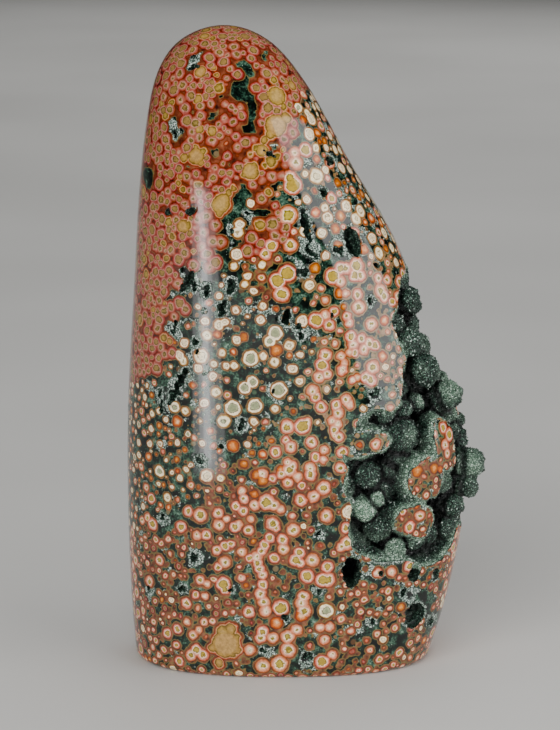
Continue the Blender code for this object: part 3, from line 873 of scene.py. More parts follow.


# Orbs that catch the eye on the front face, by kind: the pixel of the photograph at the middle of
# each and its radius in pixels, all read one by one.
LANDMARKS = {
    Kind.ROSE: (
        (192, 85, 6), (206, 82, 5), (220, 83, 4.5), (226, 77, 5), (237, 73, 6.5), (210, 64, 6),
        (190, 95, 7), (210, 103, 6), (231, 107, 5.5), (240, 107, 5.5), (241, 115, 6), (218, 124, 5.5),
        (200, 115, 6.5), (198, 137, 6.5), (237, 147, 6.5), (174, 159, 7), (195, 174, 6), (214, 168, 6),
        (226, 182, 6), (192, 198, 5.5), (272, 176, 7), (252, 184, 6), (272, 224, 9), (251, 57, 6),
        (257, 64, 5), (205, 95, 5), (205, 97, 5), (224, 118, 6), (235, 136, 6), (228, 131, 5),
        (205, 127, 5), (190, 140, 6), (167, 147, 6), (160, 158, 5), (164, 172, 5), (207, 183, 5),
        (172, 197, 5), (178, 199, 5), (188, 190, 5), (180, 214, 5), (200, 202, 5), (214, 262, 8),
        (209, 267, 7), (220, 242, 7.5), (178, 303, 7.5), (184, 309, 7), (173, 316, 6), (156, 328, 7.5),
        (155, 368, 8), (163, 354, 6.5), (151, 348, 6.5), (142, 365, 5), (157, 358, 6), (147, 370, 5),
        (245, 43, 5), (232, 37, 6), (222, 45, 6), (262, 45, 5), (272, 57, 5), (285, 65, 6),
        (283, 78, 6), (262, 80, 5), (275, 205, 5), (150, 258, 6), (168, 270, 7), (158, 300, 7),
        (163, 282, 6), (152, 315, 6), (176, 283, 7), (192, 265, 7), (200, 247, 7),
    ),
    Kind.HONEY: (
        (225, 644, 16), (277, 95, 12), (276, 125, 13), (220, 204, 11.5), (195, 156, 10),
        (250, 171, 10.5), (262, 150, 8.5), (182, 226, 9), (271, 161, 8), (218, 87, 7.5), (275, 97, 9),
        (281, 92, 7), (270, 93, 6), (286, 80, 5), (284, 106, 6), (279, 124, 10), (286, 117, 8),
        (270, 121, 7), (270, 134, 7), (264, 140, 6), (256, 148, 6), (250, 154, 5), (248, 171, 7),
        (253, 165, 5), (243, 175, 5), (197, 156, 7), (202, 151, 6), (195, 147, 5), (200, 162, 5),
        (222, 200, 9), (216, 206, 7), (228, 192, 6), (233, 188, 5), (219, 213, 6), (186, 225, 7),
        (180, 226, 5), (177, 183, 4.5), (179, 176, 4.5), (182, 189, 5), (270, 160, 7), (277, 156, 6),
        (283, 149, 4.5), (216, 74, 4.5), (213, 67, 4.5), (268, 192, 6), (264, 165, 5), (160, 103, 5),
        (170, 102, 5), (222, 632, 9), (230, 629, 8), (217, 641, 8), (228, 642, 9), (236, 637, 6),
        (236, 650, 7), (225, 652, 8), (232, 655, 6), (212, 648, 7), (218, 663, 7), (162, 243, 5),
        (171, 236, 6), (165, 258, 5), (181, 246, 5), (152, 310, 5),
    ),
    Kind.CREAM: (
        (317, 175, 8.5), (312, 118, 7), (308, 112, 5), (310, 133, 7), (347, 205, 7), (361, 210, 7),
        (357, 218, 7), (328, 217, 6.5), (325, 207, 5), (307, 199, 5), (327, 147, 4.5), (299, 107, 5),
        (380, 252, 7), (237, 232, 6.5), (236, 254, 6.5), (233, 266, 5), (247, 276, 5), (244, 284, 5),
        (253, 291, 4.5), (250, 203, 5), (239, 224, 6), (309, 285, 6), (235, 310, 5), (262, 306, 5),
        (260, 320, 5), (218, 325, 6), (224, 322, 5), (206, 335, 6), (204, 321, 5), (183, 343, 5),
        (200, 356, 8), (197, 368, 5), (178, 355, 6), (182, 361, 5), (236, 340, 5), (221, 353, 5),
        (225, 366, 4.5), (233, 366, 5), (213, 364, 4.5), (212, 376, 5), (215, 392, 5.5), (274, 362, 6),
        (292, 369, 5.5), (299, 381, 5), (289, 345, 6), (302, 321, 6.5), (262, 356, 5), (275, 409, 5),
        (184, 411, 5), (203, 403, 5), (220, 478, 5), (206, 476, 7), (166, 497, 5), (253, 422, 5),
        (349, 512, 8), (262, 265, 5),
    ),
    Kind.EYE: (
        (250, 358, 8.5), (232, 408, 8.5), (254, 406, 8), (278, 390, 8.5), (252, 382, 6.5),
        (244, 388, 6.5), (275, 333, 7.5), (269, 341, 6.5), (223, 421, 7), (173, 407, 6.5),
        (158, 471, 6.5), (326, 611, 8), (299, 107, 6),
    ),
    Kind.EMBER: (
        (418, 471, 6.5), (435, 468, 6), (441, 469, 4), (461, 411, 5.5), (359, 445, 4), (316, 212, 5.5),
        (336, 228, 5.5), (318, 132, 5), (325, 140, 4.5), (338, 182, 5), (362, 193, 5), (176, 421, 6),
        (232, 446, 6.5), (276, 350, 6.5), (216, 334, 5), (243, 464, 5), (243, 337, 5), (339, 293, 5),
        (385, 320, 6), (383, 356, 6), (262, 480, 6), (256, 475, 6), (280, 470, 5), (254, 494, 5),
        (276, 623, 7), (301, 616, 7), (338, 245, 5),
    ),
    Kind.BLUSH: (
        (440, 412, 6), (444, 427, 6.5), (450, 434, 7.5), (446, 444, 6.5), (448, 453, 5.5),
        (451, 385, 6), (454, 395, 5.5), (456, 410, 4), (376, 444, 6), (287, 273, 9), (277, 281, 9),
        (281, 294, 9), (271, 245, 7.5), (265, 254, 7), (293, 185, 10), (290, 177, 8), (296, 162, 8),
        (295, 152, 7), (306, 149, 8), (288, 215, 10), (290, 245, 8), (294, 232, 4.5), (333, 276, 9),
        (341, 268, 7), (346, 268, 7), (340, 281, 7), (357, 265, 9), (361, 275, 7), (355, 275, 7),
        (400, 281, 7), (379, 278, 6), (388, 279, 6), (381, 290, 8), (385, 296, 7), (399, 296, 7),
        (393, 301, 5.5), (358, 294, 6.5), (359, 307, 8), (346, 293, 5), (334, 311, 6), (347, 316, 6),
        (349, 323, 5.5), (372, 324, 7.5), (351, 336, 7), (353, 344, 7), (362, 338, 6), (370, 343, 7),
        (375, 345, 6), (364, 349, 6.5), (350, 352, 5.5), (355, 353, 5), (341, 356, 6), (344, 363, 5.5),
        (342, 370, 6.5), (373, 367, 8), (366, 377, 7), (371, 380, 7), (357, 377, 5), (352, 380, 5),
        (346, 399, 6.5), (349, 404, 6), (336, 405, 6), (338, 413, 7), (342, 452, 6.5), (340, 468, 6.5),
        (337, 424, 6), (339, 437, 6), (325, 355, 7.5), (322, 365, 7.5), (327, 374, 6), (319, 377, 7),
        (312, 391, 7.5), (315, 397, 6), (321, 407, 6.5), (302, 426, 9), (306, 422, 6), (287, 427, 8),
        (332, 421, 6), (334, 430, 6), (335, 435, 5), (316, 320, 8.5), (325, 315, 6), (329, 325, 7),
        (325, 300, 5), (311, 442, 6.5), (290, 447, 7), (285, 440, 5), (315, 457, 6), (324, 450, 6),
        (323, 460, 5), (287, 462, 5.5), (289, 470, 8), (281, 474, 6), (287, 483, 6), (297, 477, 6),
        (292, 466, 6), (310, 468, 7), (310, 475, 7), (323, 488, 8), (275, 452, 6.5), (262, 474, 6.5),
        (272, 478, 5), (301, 486, 5), (313, 497, 7), (300, 500, 7), (241, 491, 6), (243, 499, 6),
        (254, 505, 6), (266, 502, 9), (273, 505, 7), (280, 509, 5.5), (235, 506, 5.5), (242, 511, 6),
        (217, 513, 6.5), (218, 525, 6.5), (226, 519, 5), (234, 527, 6.5), (238, 524, 5), (250, 519, 5),
        (248, 530, 6.5), (180, 527, 6.5), (187, 511, 6), (199, 515, 8), (205, 535, 6), (196, 535, 6),
        (272, 524, 7.5), (276, 528, 5), (269, 538, 6), (264, 545, 6), (261, 551, 6), (256, 557, 7),
        (257, 563, 6), (259, 569, 6), (249, 558, 5), (293, 530, 7.5), (282, 540, 7), (283, 549, 7),
        (224, 546, 6), (230, 544, 5), (216, 550, 6), (224, 562, 7), (217, 567, 5), (241, 552, 6),
        (274, 558, 6), (299, 553, 6.5), (295, 560, 7.5), (300, 563, 6), (312, 560, 8), (327, 567, 7),
        (307, 576, 8), (322, 580, 8), (328, 580, 8), (262, 575, 6), (262, 585, 6), (260, 594, 7),
        (263, 602, 7), (265, 611, 7), (222, 584, 8), (224, 590, 6), (199, 580, 6), (206, 584, 5),
        (241, 578, 5), (280, 608, 9), (303, 597, 7), (301, 603, 7), (304, 611, 8), (185, 603, 6.5),
        (248, 612, 7), (194, 595, 5), (204, 596, 5), (262, 632, 7), (260, 638, 6.5), (272, 638, 7),
        (287, 637, 8), (296, 630, 7), (288, 650, 8.5), (320, 628, 5.5), (329, 627, 6), (324, 640, 6),
        (279, 664, 9.5), (262, 666, 8), (249, 650, 7), (322, 662, 8), (332, 655, 6), (176, 629, 6),
        (166, 633, 6), (175, 645, 5), (192, 635, 6), (195, 650, 7), (190, 655, 7), (202, 655, 7),
        (178, 661, 6), (186, 622, 5), (198, 630, 5), (203, 622, 5), (326, 516, 7.5), (346, 528, 6.5),
        (347, 543, 8), (341, 547, 6), (420, 516, 6.5), (410, 527, 7), (410, 566, 7), (392, 572, 6),
        (378, 573, 6), (148, 581, 6.5), (142, 610, 5), (158, 560, 6), (146, 517, 5), (151, 524, 7),
        (141, 520, 5), (145, 487, 5), (150, 498, 6), (140, 466, 5),
    ),
}

@dataclass(frozen=True)
class Patches:
    """Patches without orbs. Those of the front face are read one by one, and noise draws the rest.

    Each mark holds the pixel of the photograph at its middle, half its width and height in
    pixels, and its lean in degrees.
    """

    marks: tuple
    seed: int
    least: float  # how high the noise is at the edge of a patch
    wavelength: float = 9.0
    blur: float = 0.5
    behind: float = -8.0  # y behind which the noise begins to count

    def places(self, wider: float = 0.0) -> list:
        """Places the marks on the front face.

        Args:
            wider: what is added to their half sizes, in mm.

        Returns:
            X, z, half width, half height and lean of each, to a tenth of a millimetre.
        """
        found = []
        for px, py, wide, high, lean in self.marks:
            x, _, z = SIGHT.on_face(px, py)
            wide, high = round(wide * PIXEL, 1), round(high * PIXEL_UP, 1)
            found.append((round(float(x), 1), round(float(z), 1), wide + wider, high + wider, lean))
        return found

    def share(self, points: np.ndarray, wider: float = 0.0) -> np.ndarray:
        """Tells how far inside a patch points are.

        Args:
            points: points on or near the surface.
            wider: what is added to the half sizes of the marked patches, in mm.

        Returns:
            For each 1 in the middle of a patch, 0.5 at its edge and 0 away from it.
        """
        noise = Waves(self.seed, self.wavelength).at(points)
        share = smooth_step(self.least - self.blur, self.least + self.blur, noise)
        share = share * smooth_step(self.behind, 0.0, points[:, 1])
        for x, z, wide, high, lean in self.places(wider):
            turn = math.radians(lean)
            dx, dz = points[:, 0] - x, points[:, 2] - z
            across = (dx * math.cos(turn) - dz * math.sin(turn)) / wide
            along = (dx * math.sin(turn) + dz * math.cos(turn)) / high
            inside = smooth_step(1.5, 0.5, np.hypot(across, along)) * (points[:, 1] < 0)
            share = np.maximum(share, inside)
        return share


# Dark green windows of clear stone.
WINDOWS = Patches((
    (394, 568, 8.5, 6, 20), (426.5, 600.5, 6.5, 10.5, 0), (399, 640, 7.5, 8.5, 0),
    (247, 66, 11, 9, 0), (241, 88, 10, 13, 0), (252, 108, 6, 16, 0), (249, 130, 8, 5, 0),
    (266, 56, 4, 4, 0), (221, 94, 4, 4, 0), (212, 116, 9, 3.5, -35), (215, 151, 5, 6, 0),
    (193, 112, 2.5, 3, 0), (188, 167, 3, 3.5, 0), (230, 166, 3, 3, 0), (270, 151, 8, 3, -20),
    (148, 178, 5, 12, 0), (192, 210, 6, 4, 0), (167, 212, 4, 3, 0), (232, 226, 10, 14, 0),
    (245, 196, 9, 15, 0), (262, 214, 10, 5, 0),
), 81, 1.2)

# Porous, sugary patches.
POROUS = Patches((
    (406.5, 596, 9.5, 7, 0), (376.5, 573.5, 8.5, 6, 0), (433, 620, 6.5, 9.5, 0),
    (372, 624, 6.5, 5, 0), (193, 62, 4.5, 14, 42), (172, 128, 6, 14, 0), (181, 130, 5, 3, 0),
    (190, 280, 9, 9, 0), (205, 290, 7, 8, 0), (232, 285, 6, 10, 0), (222, 308, 5, 8, 0),
    (172, 328, 9, 7, 0), (250, 218, 6, 6, 0), (229, 228, 5, 8, 0), (195, 350, 4, 12, 0),
    (175, 385, 7, 12, 25), (240, 425, 6, 12, 0), (300, 268, 6, 6, 0), (310, 250, 12, 10, 0),
    (340, 250, 8, 8, 0), (300, 330, 8, 10, 0), (272, 395, 4, 6, 0), (197, 558, 9, 8, 0),
    (264, 652, 5, 5, 0), (308, 658, 8, 8, 0), (322, 535, 8, 5, 0), (285, 495, 4, 4, 0),
    (318, 590, 6, 3, 0), (180, 588, 5, 5, 0), (160, 395, 5, 10, 0), (201.5, 460, 8, 9, 0),
    (165, 520, 8, 8, 0), (372, 300, 5, 8, 0), (375, 395, 7, 7, 0), (330, 320, 4, 6, 0),
    (286, 618, 4, 6, 0), (232, 590, 3, 6, 0), (185, 270, 7, 4, 0), (150, 590, 4, 6, 0),
), 82, 1.3)


@dataclass
class OrbField:
    """All the spherulites near the surface, drawn from one seed."""

    seed: int = 11
    tries: int = 70000  # how many places are tried
    cube: float = 4.0  # more than two orbs reach from each other, in mm
    margin: float = 0.7  # how far grown orbs stay from a marked patch, in mm
    full: float = 0.45  # the share of a patch past which no orb grows
    spread: float = 0.3  # how far sizes vary at one time, as a share of the zone's range
    shrink: float = 0.35  # how far the least size falls while they grow
    sunk: tuple = (-0.2, 0.45)  # how deep a centre is, as a share of the radius that shows
    front: float = -8.0  # y before which the marked orbs leave less room
    filling: tuple = (0.55, 1.35)  # the size and spacing there, over those of the zone
    searched: int = 24  # how many centres are looked at to find a face's nearest orbs

    def __post_init__(self) -> None:
        """Places the orbs that catch the eye and grows the rest round them."""
        self.cells = Cells(self.cube)
        self.centres, self.radii, self.kinds, self.spots, self.seen = [], [], [], [], []
        for kind, marks in LANDMARKS.items():
            for px, py, radius in marks:
                self.add(SIGHT.on_face(px, py), radius * PIXEL, kind, 0.0)
        self.grow()

    def add(self, spot: np.ndarray, seen: float, kind: int, sunk: float) -> None:
        """Keeps an orb.

        Args:
            spot: where the polish cuts it.
            seen: the radius that shows there.
            kind: its kind.
            sunk: how deep its centre is, as a share of the radius that shows.
        """
        into = FORM.inward(spot[None])[0]
        deep = sunk * seen
        self.cells.add(spot, len(self.spots))
        self.spots.append(spot)
        self.seen.append(seen)
        self.centres.append(spot + into * deep)
        self.radii.append(math.hypot(seen, deep))
        self.kinds.append(int(kind))

    def grow(self) -> None:
        """Tries places all over the surface, large orbs first, and keeps those with room."""
        chance = np.random.default_rng(self.seed)
        way = 0.1 + 0.9 * chance.uniform(0, 1, self.tries)
        spots = FORM.points(way, chance.uniform(0, 2 * math.pi, self.tries))
        zones = zone_of(spots)
        taken = np.maximum(WINDOWS.share(spots, self.margin), POROUS.share(spots, self.margin))
        filled = (Zone.CORAL, Zone.MEADOW, Zone.FOOT)
        for i in np.flatnonzero(taken < self.full):
            zone = Zone(zones[i])
            growth = GROWTH[zone]
            low, high = growth.radii
            late = i / self.tries
            largest = high - (high - low) * late
            radius = chance.uniform(largest - self.spread * (high - low), largest)
            radius = max(radius, low * (1.0 - self.shrink * late))
            spacing = chance.uniform(*growth.spacing)
            if spots[i][1] < self.front and zone in filled:
                radius, spacing = radius * self.filling[0], spacing * self.filling[1]
            if all(
                np.linalg.norm(spots[i] - self.spots[j]) > spacing * (radius + self.seen[j])
                for j in self.cells.near(spots[i])
            ):
                odds = np.array(list(growth.kinds.values()))
                kind = chance.choice(list(growth.kinds), p=odds / odds.sum())
                self.add(spots[i], radius, kind, chance.uniform(*self.sunk))

    def mark(self, mesh: Mesh, faces: np.ndarray) -> None:
        """Tells each face of the polish which orbs are nearest to it.

        Args:
            mesh: the stone's mesh, in mm.
            faces: the middle of each face.
        """
        tree = tree_of(self.centres)
        radii, centres = np.array(self.radii), np.array(self.centres)
        codes = np.array(self.kinds) + np.clip(radii / CODE_SCALE, 0, 0.99)
        found = [tree.find_n(middle, self.searched) for middle in faces]
        table = np.array([[number for _, number, _ in row] for row in found])
        away = np.array([[gap for _, _, gap in row] for row in found])
        order = np.argsort(away - radii[table], axis=1)[:, :NEAREST_ORBS]
        for k, chosen in enumerate(np.take_along_axis(table, order, axis=1).T):
            store(mesh, f"orb_{k}", np.c_[centres[chosen], codes[chosen]])


class Graph:
    """A material's node tree while it is being built."""

    def __init__(self, name: str) -> None:
        """Starts a material with nothing in it.

        Args:
            name: the name of the material.
        """
        self.material = bpy.data.materials.new(name)
        self.material.use_nodes = True
        self.tree = self.material.node_tree
        self.tree.nodes.clear()

    def add(
        self,
        kind: str,
        inputs: dict | tuple = (),
        out: int | str | None = 0,
        stops: tuple = (),
        **settings: object,
    ) -> Socket | bpy.types.Node:
        """Adds a node with its settings and links.

        Args:
            kind: the node's type without its ShaderNode prefix.
            inputs: for each input by name or number, or in order, a value, a hex colour or a
                socket to link.
            out: the output that is wanted, or None for the node itself.
            stops: a place and a hex colour for each stop of a colour ramp.
            settings: the node's own settings.

        Returns:
            That output, or the node.
        """
        node = self.tree.nodes.new("ShaderNode" + kind)
        for key, value in settings.items():
            setattr(node, key, value)
        for number, (place, code) in enumerate(stops):
            node.color_ramp.interpolation = "EASE"
            elements = node.color_ramp.elements
            element = elements[number] if number < len(elements) else elements.new(1.0)
            element.position, element.color = place, linear(code)
        for key, value in inputs.items() if isinstance(inputs, dict) else enumerate(inputs):
            if isinstance(value, Socket):
                self.tree.links.new(value, node.inputs[key])
            else:
                node.inputs[key].default_value = linear(value) if isinstance(value, str) else value
        return node if out is None else node.outputs[out]



COLOURS = {"data_type": "RGBA"}
SMOOTH = {"interpolation_type": "SMOOTHSTEP"}


@dataclass(frozen=True)
class PolishedJasper:
    """Orbicular chalcedony, ground and polished with oxide to a glassy surface.

    The eye gets soft-edged rings in pink, cream and olive yellow under gloss, rust and dark
    green stone between them, and matt sugary patches where it was porous and took no polish.
    """

    gloss: float = 0.07  # roughness of the polish
    ring_span: float = 1.6  # the ring colours below reach this many mm into an orb
    least_span: float = 0.5  # and never less than this
    melt: float = 0.3  # neighbours closer than this flow into one outline, in mm
    wobble: float = 0.75  # how far outlines leave a true circle, in mm
    rings: dict = field(default_factory=lambda: {
        Kind.ROSE: ((0.0, "#501C13"), (0.07, "#723127"), (0.17, "#924F46"), (0.32, "#A86B61"),
                    (0.4, "#B98F7C"), (0.45, "#82684A"), (0.49, "#574724"), (0.62, "#8C744A")),
        Kind.CREAM: ((0.0, "#4A2A14"), (0.07, "#9A6A3E"), (0.15, "#DDB688"), (0.25, "#FFF1D4"),
                     (0.37, "#FFECC8"), (0.44, "#8E7850"), (0.51, "#FBE8C4"), (0.8, "#D6C8A0")),
        Kind.EMBER: ((0.0, "#4C2110"), (0.1, "#8A4628"), (0.28, "#B86A42"), (0.5, "#DC9A6C"),
                     (0.72, "#F2C8A0"), (0.9, "#F8DDBC")),
        Kind.BLUSH: ((0.0, "#582A16"), (0.06, "#94503A"), (0.14, "#C67A66"), (0.3, "#E2A48F"),
                     (0.38, "#F8D2B6"), (0.43, "#FFEACE"), (0.47, "#AE8E5A"), (0.51, "#70602C"),
                     (0.62, "#B09A52")),
        Kind.HONEY: ((0.0, "#5E2414"), (0.08, "#8C4A36"), (0.17, "#AE7058"), (0.23, "#C89E7C"),
                     (0.27, "#8A6C40"), (0.32, "#66512A"), (0.5, "#A0824E"), (0.85, "#B09262")),
        Kind.EYE: ((0.0, "#4E3219"), (0.08, "#B58850"), (0.16, "#FFF0D2"), (0.32, "#FFEDCC"),
                   (0.38, "#4A4A30"), (0.44, "#A8A986"), (0.6, "#8A8F6E"), (0.9, "#A0A382")),
    })

    def build(self) -> Material:
        """Wires the material, which reads the stone's orb, ground and rim attributes.

        Returns:
            The material.
        """
        g = Graph("polished_orbicular_chalcedony")
        own = g.add("TexCoord", out="Object")
        place = g.add("VectorMath", {0: own, "Scale": 1 / MM}, operation="SCALE")
        warp = g.add("TexNoise", {"Vector": place, "Scale": 1 / 1.25, "Detail": 3.0}, "Color")
        centred = g.add("VectorMath", (warp, (0.5, 0.5, 0.5)), operation="SUBTRACT")
        shove = g.add("VectorMath", {0: centred, "Scale": self.wobble}, operation="SCALE")
        spot = g.add("VectorMath", (place, shove), operation="ADD")
        edge, middle, code = self.nearest_orb(g, spot)
        orb = self.ring_colour(g, edge, middle, code, spot)
        outside, rough, relief = self.ground(g, place, edge)
        inside = g.add("MapRange", (edge, 0.06, -0.05), **SMOOTH)
        colour = g.add("Mix", {0: inside, 6: outside, 7: orb}, 2, **COLOURS)
        open_stone = g.add("Math", (1.0, inside), operation="SUBTRACT")
        shine = g.add("Math", (rough, open_stone, self.gloss), operation="MULTIPLY_ADD", use_clamp=True)
        height = g.add("Math", (relief, open_stone), operation="MULTIPLY")
        bump = g.add("Bump", {"Strength": 0.6, "Distance": 0.2 * MM, "Height": height})
        surface = {"Base Color": colour, "Roughness": shine, "IOR": CHALCEDONY_INDEX, "Normal": bump}
        g.add("OutputMaterial", {"Surface": g.add("BsdfPrincipled", surface)}, None)
        return g.material

    def nearest_orb(self, g: Graph, spot: Socket) -> tuple[Socket, Socket, Socket]:
        """Finds the orb that a point is deepest in, or nearest to.

        Args:
            g: the graph to add to.
            spot: the point, in mm.

        Returns:
            The distance from the melted outline of the orbs, and the orb's middle and code.
        """
        edge = melted = middle = code = None
        for k in range(NEAREST_ORBS):
            orb = g.add("Attribute", out=None, attribute_name=f"orb_{k}").outputs
            centre, packed = orb["Vector"], orb["Alpha"]
            away = g.add("VectorMath", (centre, spot), "Value", operation="DISTANCE")
            share = g.add("Math", (packed,), operation="FRACT")
            rim = g.add("Math", (share, -CODE_SCALE, away), operation="MULTIPLY_ADD")
            if edge is None:
                edge, melted, middle, code = rim, rim, centre, packed
                continue
            nearer = g.add("Math", (rim, edge), operation="LESS_THAN")
            middle = g.add("Mix", {0: nearer, 4: middle, 5: centre}, 1, data_type="VECTOR")
            code = g.add("Mix", {0: nearer, 2: code, 3: packed}, 0, data_type="FLOAT")
            edge = g.add("Math", (edge, rim), operation="MINIMUM")
            melted = g.add("Math", (melted, rim, self.melt), operation="SMOOTH_MIN")
        return melted, middle, code

    def ring_colour(
        self, g: Graph, edge: Socket, middle: Socket, code: Socket, spot: Socket
    ) -> Socket:
        """The colour inside an orb: rings, fine growth lines and fibres from its middle.

        Args:
            g: the graph to add to.
            edge: the distance from the orbs' outline, less than 0 inside.
            middle: the orb's middle.
            code: its kind, and its radius over the code's scale as the fraction.
            spot: the point, in mm.

        Returns:
            The colour.
        """
        # How far in the point is, over the span of the rings, which each orb stretches a little.
        own = g.add("TexWhiteNoise", {"Vector": middle}, noise_dimensions="3D")
        share = g.add("Math", (code,), operation="FRACT")
        span = g.add("Math", (share, CODE_SCALE * 1.2), operation="MULTIPLY")
        span = g.add("Math", (span, self.least_span), operation="MAXIMUM")
        span = g.add("Math", (span, self.ring_span), operation="MINIMUM")
        sway = g.add("Math", (own, 0.5, 0.75), operation="MULTIPLY_ADD")
        span = g.add("Math", (span, sway), operation="MULTIPLY")
        ring = g.add("Math", (edge, -1.0), operation="MULTIPLY")
        ring = g.add("Math", (ring, span), operation="DIVIDE")
        shiver = g.add("TexNoise", {"Vector": spot, "Scale": 1 / 0.45, "Detail": 3.0})
        shiver = g.add("Math", (shiver, 0.9, 0.55), operation="MULTIPLY_ADD")
        ring = g.add("Math", (ring, shiver), operation="MULTIPLY")
        # The rings of the orb's own kind.
        kind = g.add("Math", (code,), operation="FLOOR")
        colour = "#000000"
        for number, stops in self.rings.items():
            one = g.add("ValToRGB", (ring,), stops=stops)
            chosen = g.add("Math", (kind, float(number), 0.5), operation="COMPARE")
            colour = g.add("Mix", {0: chosen, 6: colour, 7: one}, 2, **COLOURS)
        # Fibres that run out from its middle, fine growth lines and clouds change their brightness.
        spoke = g.add("VectorMath", (spot, middle), operation="SUBTRACT")
        spoke = g.add("VectorMath", (spoke,), operation="NORMALIZE")
        fibre = g.add("TexNoise", {"Vector": spoke, "Scale": 1 / 0.16, "Detail": 2.0})
        line = g.add("Math", (g.add("Math", (ring, 42.0), operation="MULTIPLY"),), operation="SINE")
        cloud = g.add("TexNoise", {"Vector": spot, "Scale": 1 / 0.55, "Detail": 5.0})
        cloud = g.add("MapRange", (cloud, 0.33, 0.67, 0.67, 1.03), **SMOOTH)
        value = g.add("Math", (fibre, 0.36, cloud), operation="MULTIPLY_ADD")
        value = g.add("Math", (line, 0.045, value), operation="MULTIPLY_ADD")
        hue = g.add("Math", (own, 0.02, 0.49), operation="MULTIPLY_ADD")
        return g.add("HueSaturation", {"Hue": hue, "Saturation": 1.14, "Value": value, "Color": colour})

    def ground(self, g: Graph, place: Socket, edge: Socket) -> tuple[Socket, Socket, Socket]:
        """The stone between the orbs: a halo round them, then green stone with sugary patches.

        Args:
            g: the graph to add to.
            place: the point, in mm.
            edge: the distance from the orbs' outline.

        Returns:
            Its colour, added roughness and relief.
        """
        halo, tan, grain, rim = (
            g.add("Attribute", out="Fac", attribute_name=name) for name in ("halo", "tan", "grain", "rim")
        )
        # A skirt of rust or fawn stone round the orbs, with an olive edge.
        sway = g.add("TexNoise", {"Vector": place, "Scale": 1 / 2.4, "Detail": 3.0})
        sway = g.add("Math", (sway, 1.6, 0.2), operation="MULTIPLY_ADD")
        wide = g.add("Math", (halo, sway), operation="MULTIPLY")
        wide = g.add("Math", (wide, 0.02), operation="MAXIMUM")
        out = g.add("Math", (edge, wide), operation="DIVIDE")
        cloud = g.add("TexNoise", {"Vector": place, "Scale": 1 / 1.3, "Detail": 5.0})
        rust = g.add("ValToRGB", (cloud,), stops=(
            (0.32, "#33130B"), (0.5, "#662B18"), (0.66, "#87452A"), (0.8, "#9E653E")))
        fawn = g.add("ValToRGB", (cloud,), stops=((0.3, "#5E4630"), (0.5, "#8F7152"), (0.7, "#B08E6C")))
        skirt = g.add("Mix", {0: tan, 6: rust, 7: fawn}, 2, **COLOURS)
        olive = g.add("MapRange", (out, 0.45, 0.9), **SMOOTH)
        skirt = g.add("Mix", {0: olive, 6: skirt, 7: "#7D6A38"}, 2, **COLOURS)
        # Dark green stone, with smaller orbs sunk in it.
        moss = g.add("TexNoise", {"Vector": place, "Scale": 1 / 1.7, "Detail": 5.0})
        fine = g.add("TexNoise", {"Vector": place, "Scale": 1 / 0.35, "Detail": 4.0})
        fine = g.add("Math", (fine, 0.6, -0.3), operation="MULTIPLY_ADD")
        moss = g.add("Math", (moss, fine), operation="ADD")
        deep = g.add("ValToRGB", (moss,), stops=(
            (0.36, "#020504"), (0.47, "#0A1811"), (0.57, "#1E382B"), (0.68, "#466452"), (0.82, "#7D9884")))
        deep = self.sunken(g, place, deep, 2.3, 0.30, 0.55, ("#7A4E2C", "#A58A60", "#5D7A5C"), 0.45)
        deep = self.sunken(g, place, deep, 0.6, 0.15, 0.62, ("#8FA38F", "#D5DDC8", "#6E8A70"), 0.8)
        # Sugary patches, pitted in their middles, with the pits painted near black as painted shade, and a
        # fringe of them along the raw edges.
        speck = g.add("TexNoise", {"Vector": place, "Scale": 1 / 0.24, "Detail": 3.0})
        sugar = g.add("ValToRGB", (speck,), stops=(
            (0.4, "#050A07"), (0.48, "#4C5F54"), (0.56, "#93A89B"), (0.66, "#EEF4EC")))
        drift = g.add("TexNoise", {"Vector": place, "Scale": 1 / 2.8, "Detail": 4.0})
        drift = g.add("Math", (drift, 1.7, -0.85), operation="MULTIPLY_ADD")
        patch = g.add("Math", (drift, grain), operation="ADD")
        ragged = g.add("TexNoise", {"Vector": place, "Scale": 1 / 0.7, "Detail": 3.0})
        ragged = g.add("Math", (ragged, 1.6, rim), operation="MULTIPLY_ADD")
        fringe = g.add("MapRange", (ragged, 1.5, 0.8), **SMOOTH)
        # Painted shade: the middles of the sugary patches are pressed in and coloured near black.
        shaded_pit = g.add("MapRange", (patch, 0.86, 0.98), **SMOOTH)
        sugar = g.add("Mix", {0: shaded_pit, 6: sugar, 7: "#050807"}, 2, **COLOURS)
        sugary = g.add("MapRange", (patch, 0.5, 0.58), **SMOOTH)
        sugary = g.add("Math", (sugary, fringe), operation="MAXIMUM")
        # The skirt gives way to the green stone away from the orbs.
        ground = g.add("Mix", {0: sugary, 6: deep, 7: sugar}, 2, **COLOURS)
        green = g.add("MapRange", (out, 0.75, 1.1), **SMOOTH)
        ground = g.add("Mix", {0: green, 6: skirt, 7: ground}, 2, **COLOURS)
        open_stone = g.add("Math", (sugary, green), operation="MULTIPLY")
        rough = g.add("Math", (open_stone, 0.4), operation="MULTIPLY")
        grit = g.add("Math", (shaded_pit, -2.0, speck), operation="MULTIPLY_ADD")
        relief = g.add("Math", (open_stone, grit), operation="MULTIPLY")
        return ground, rough, relief

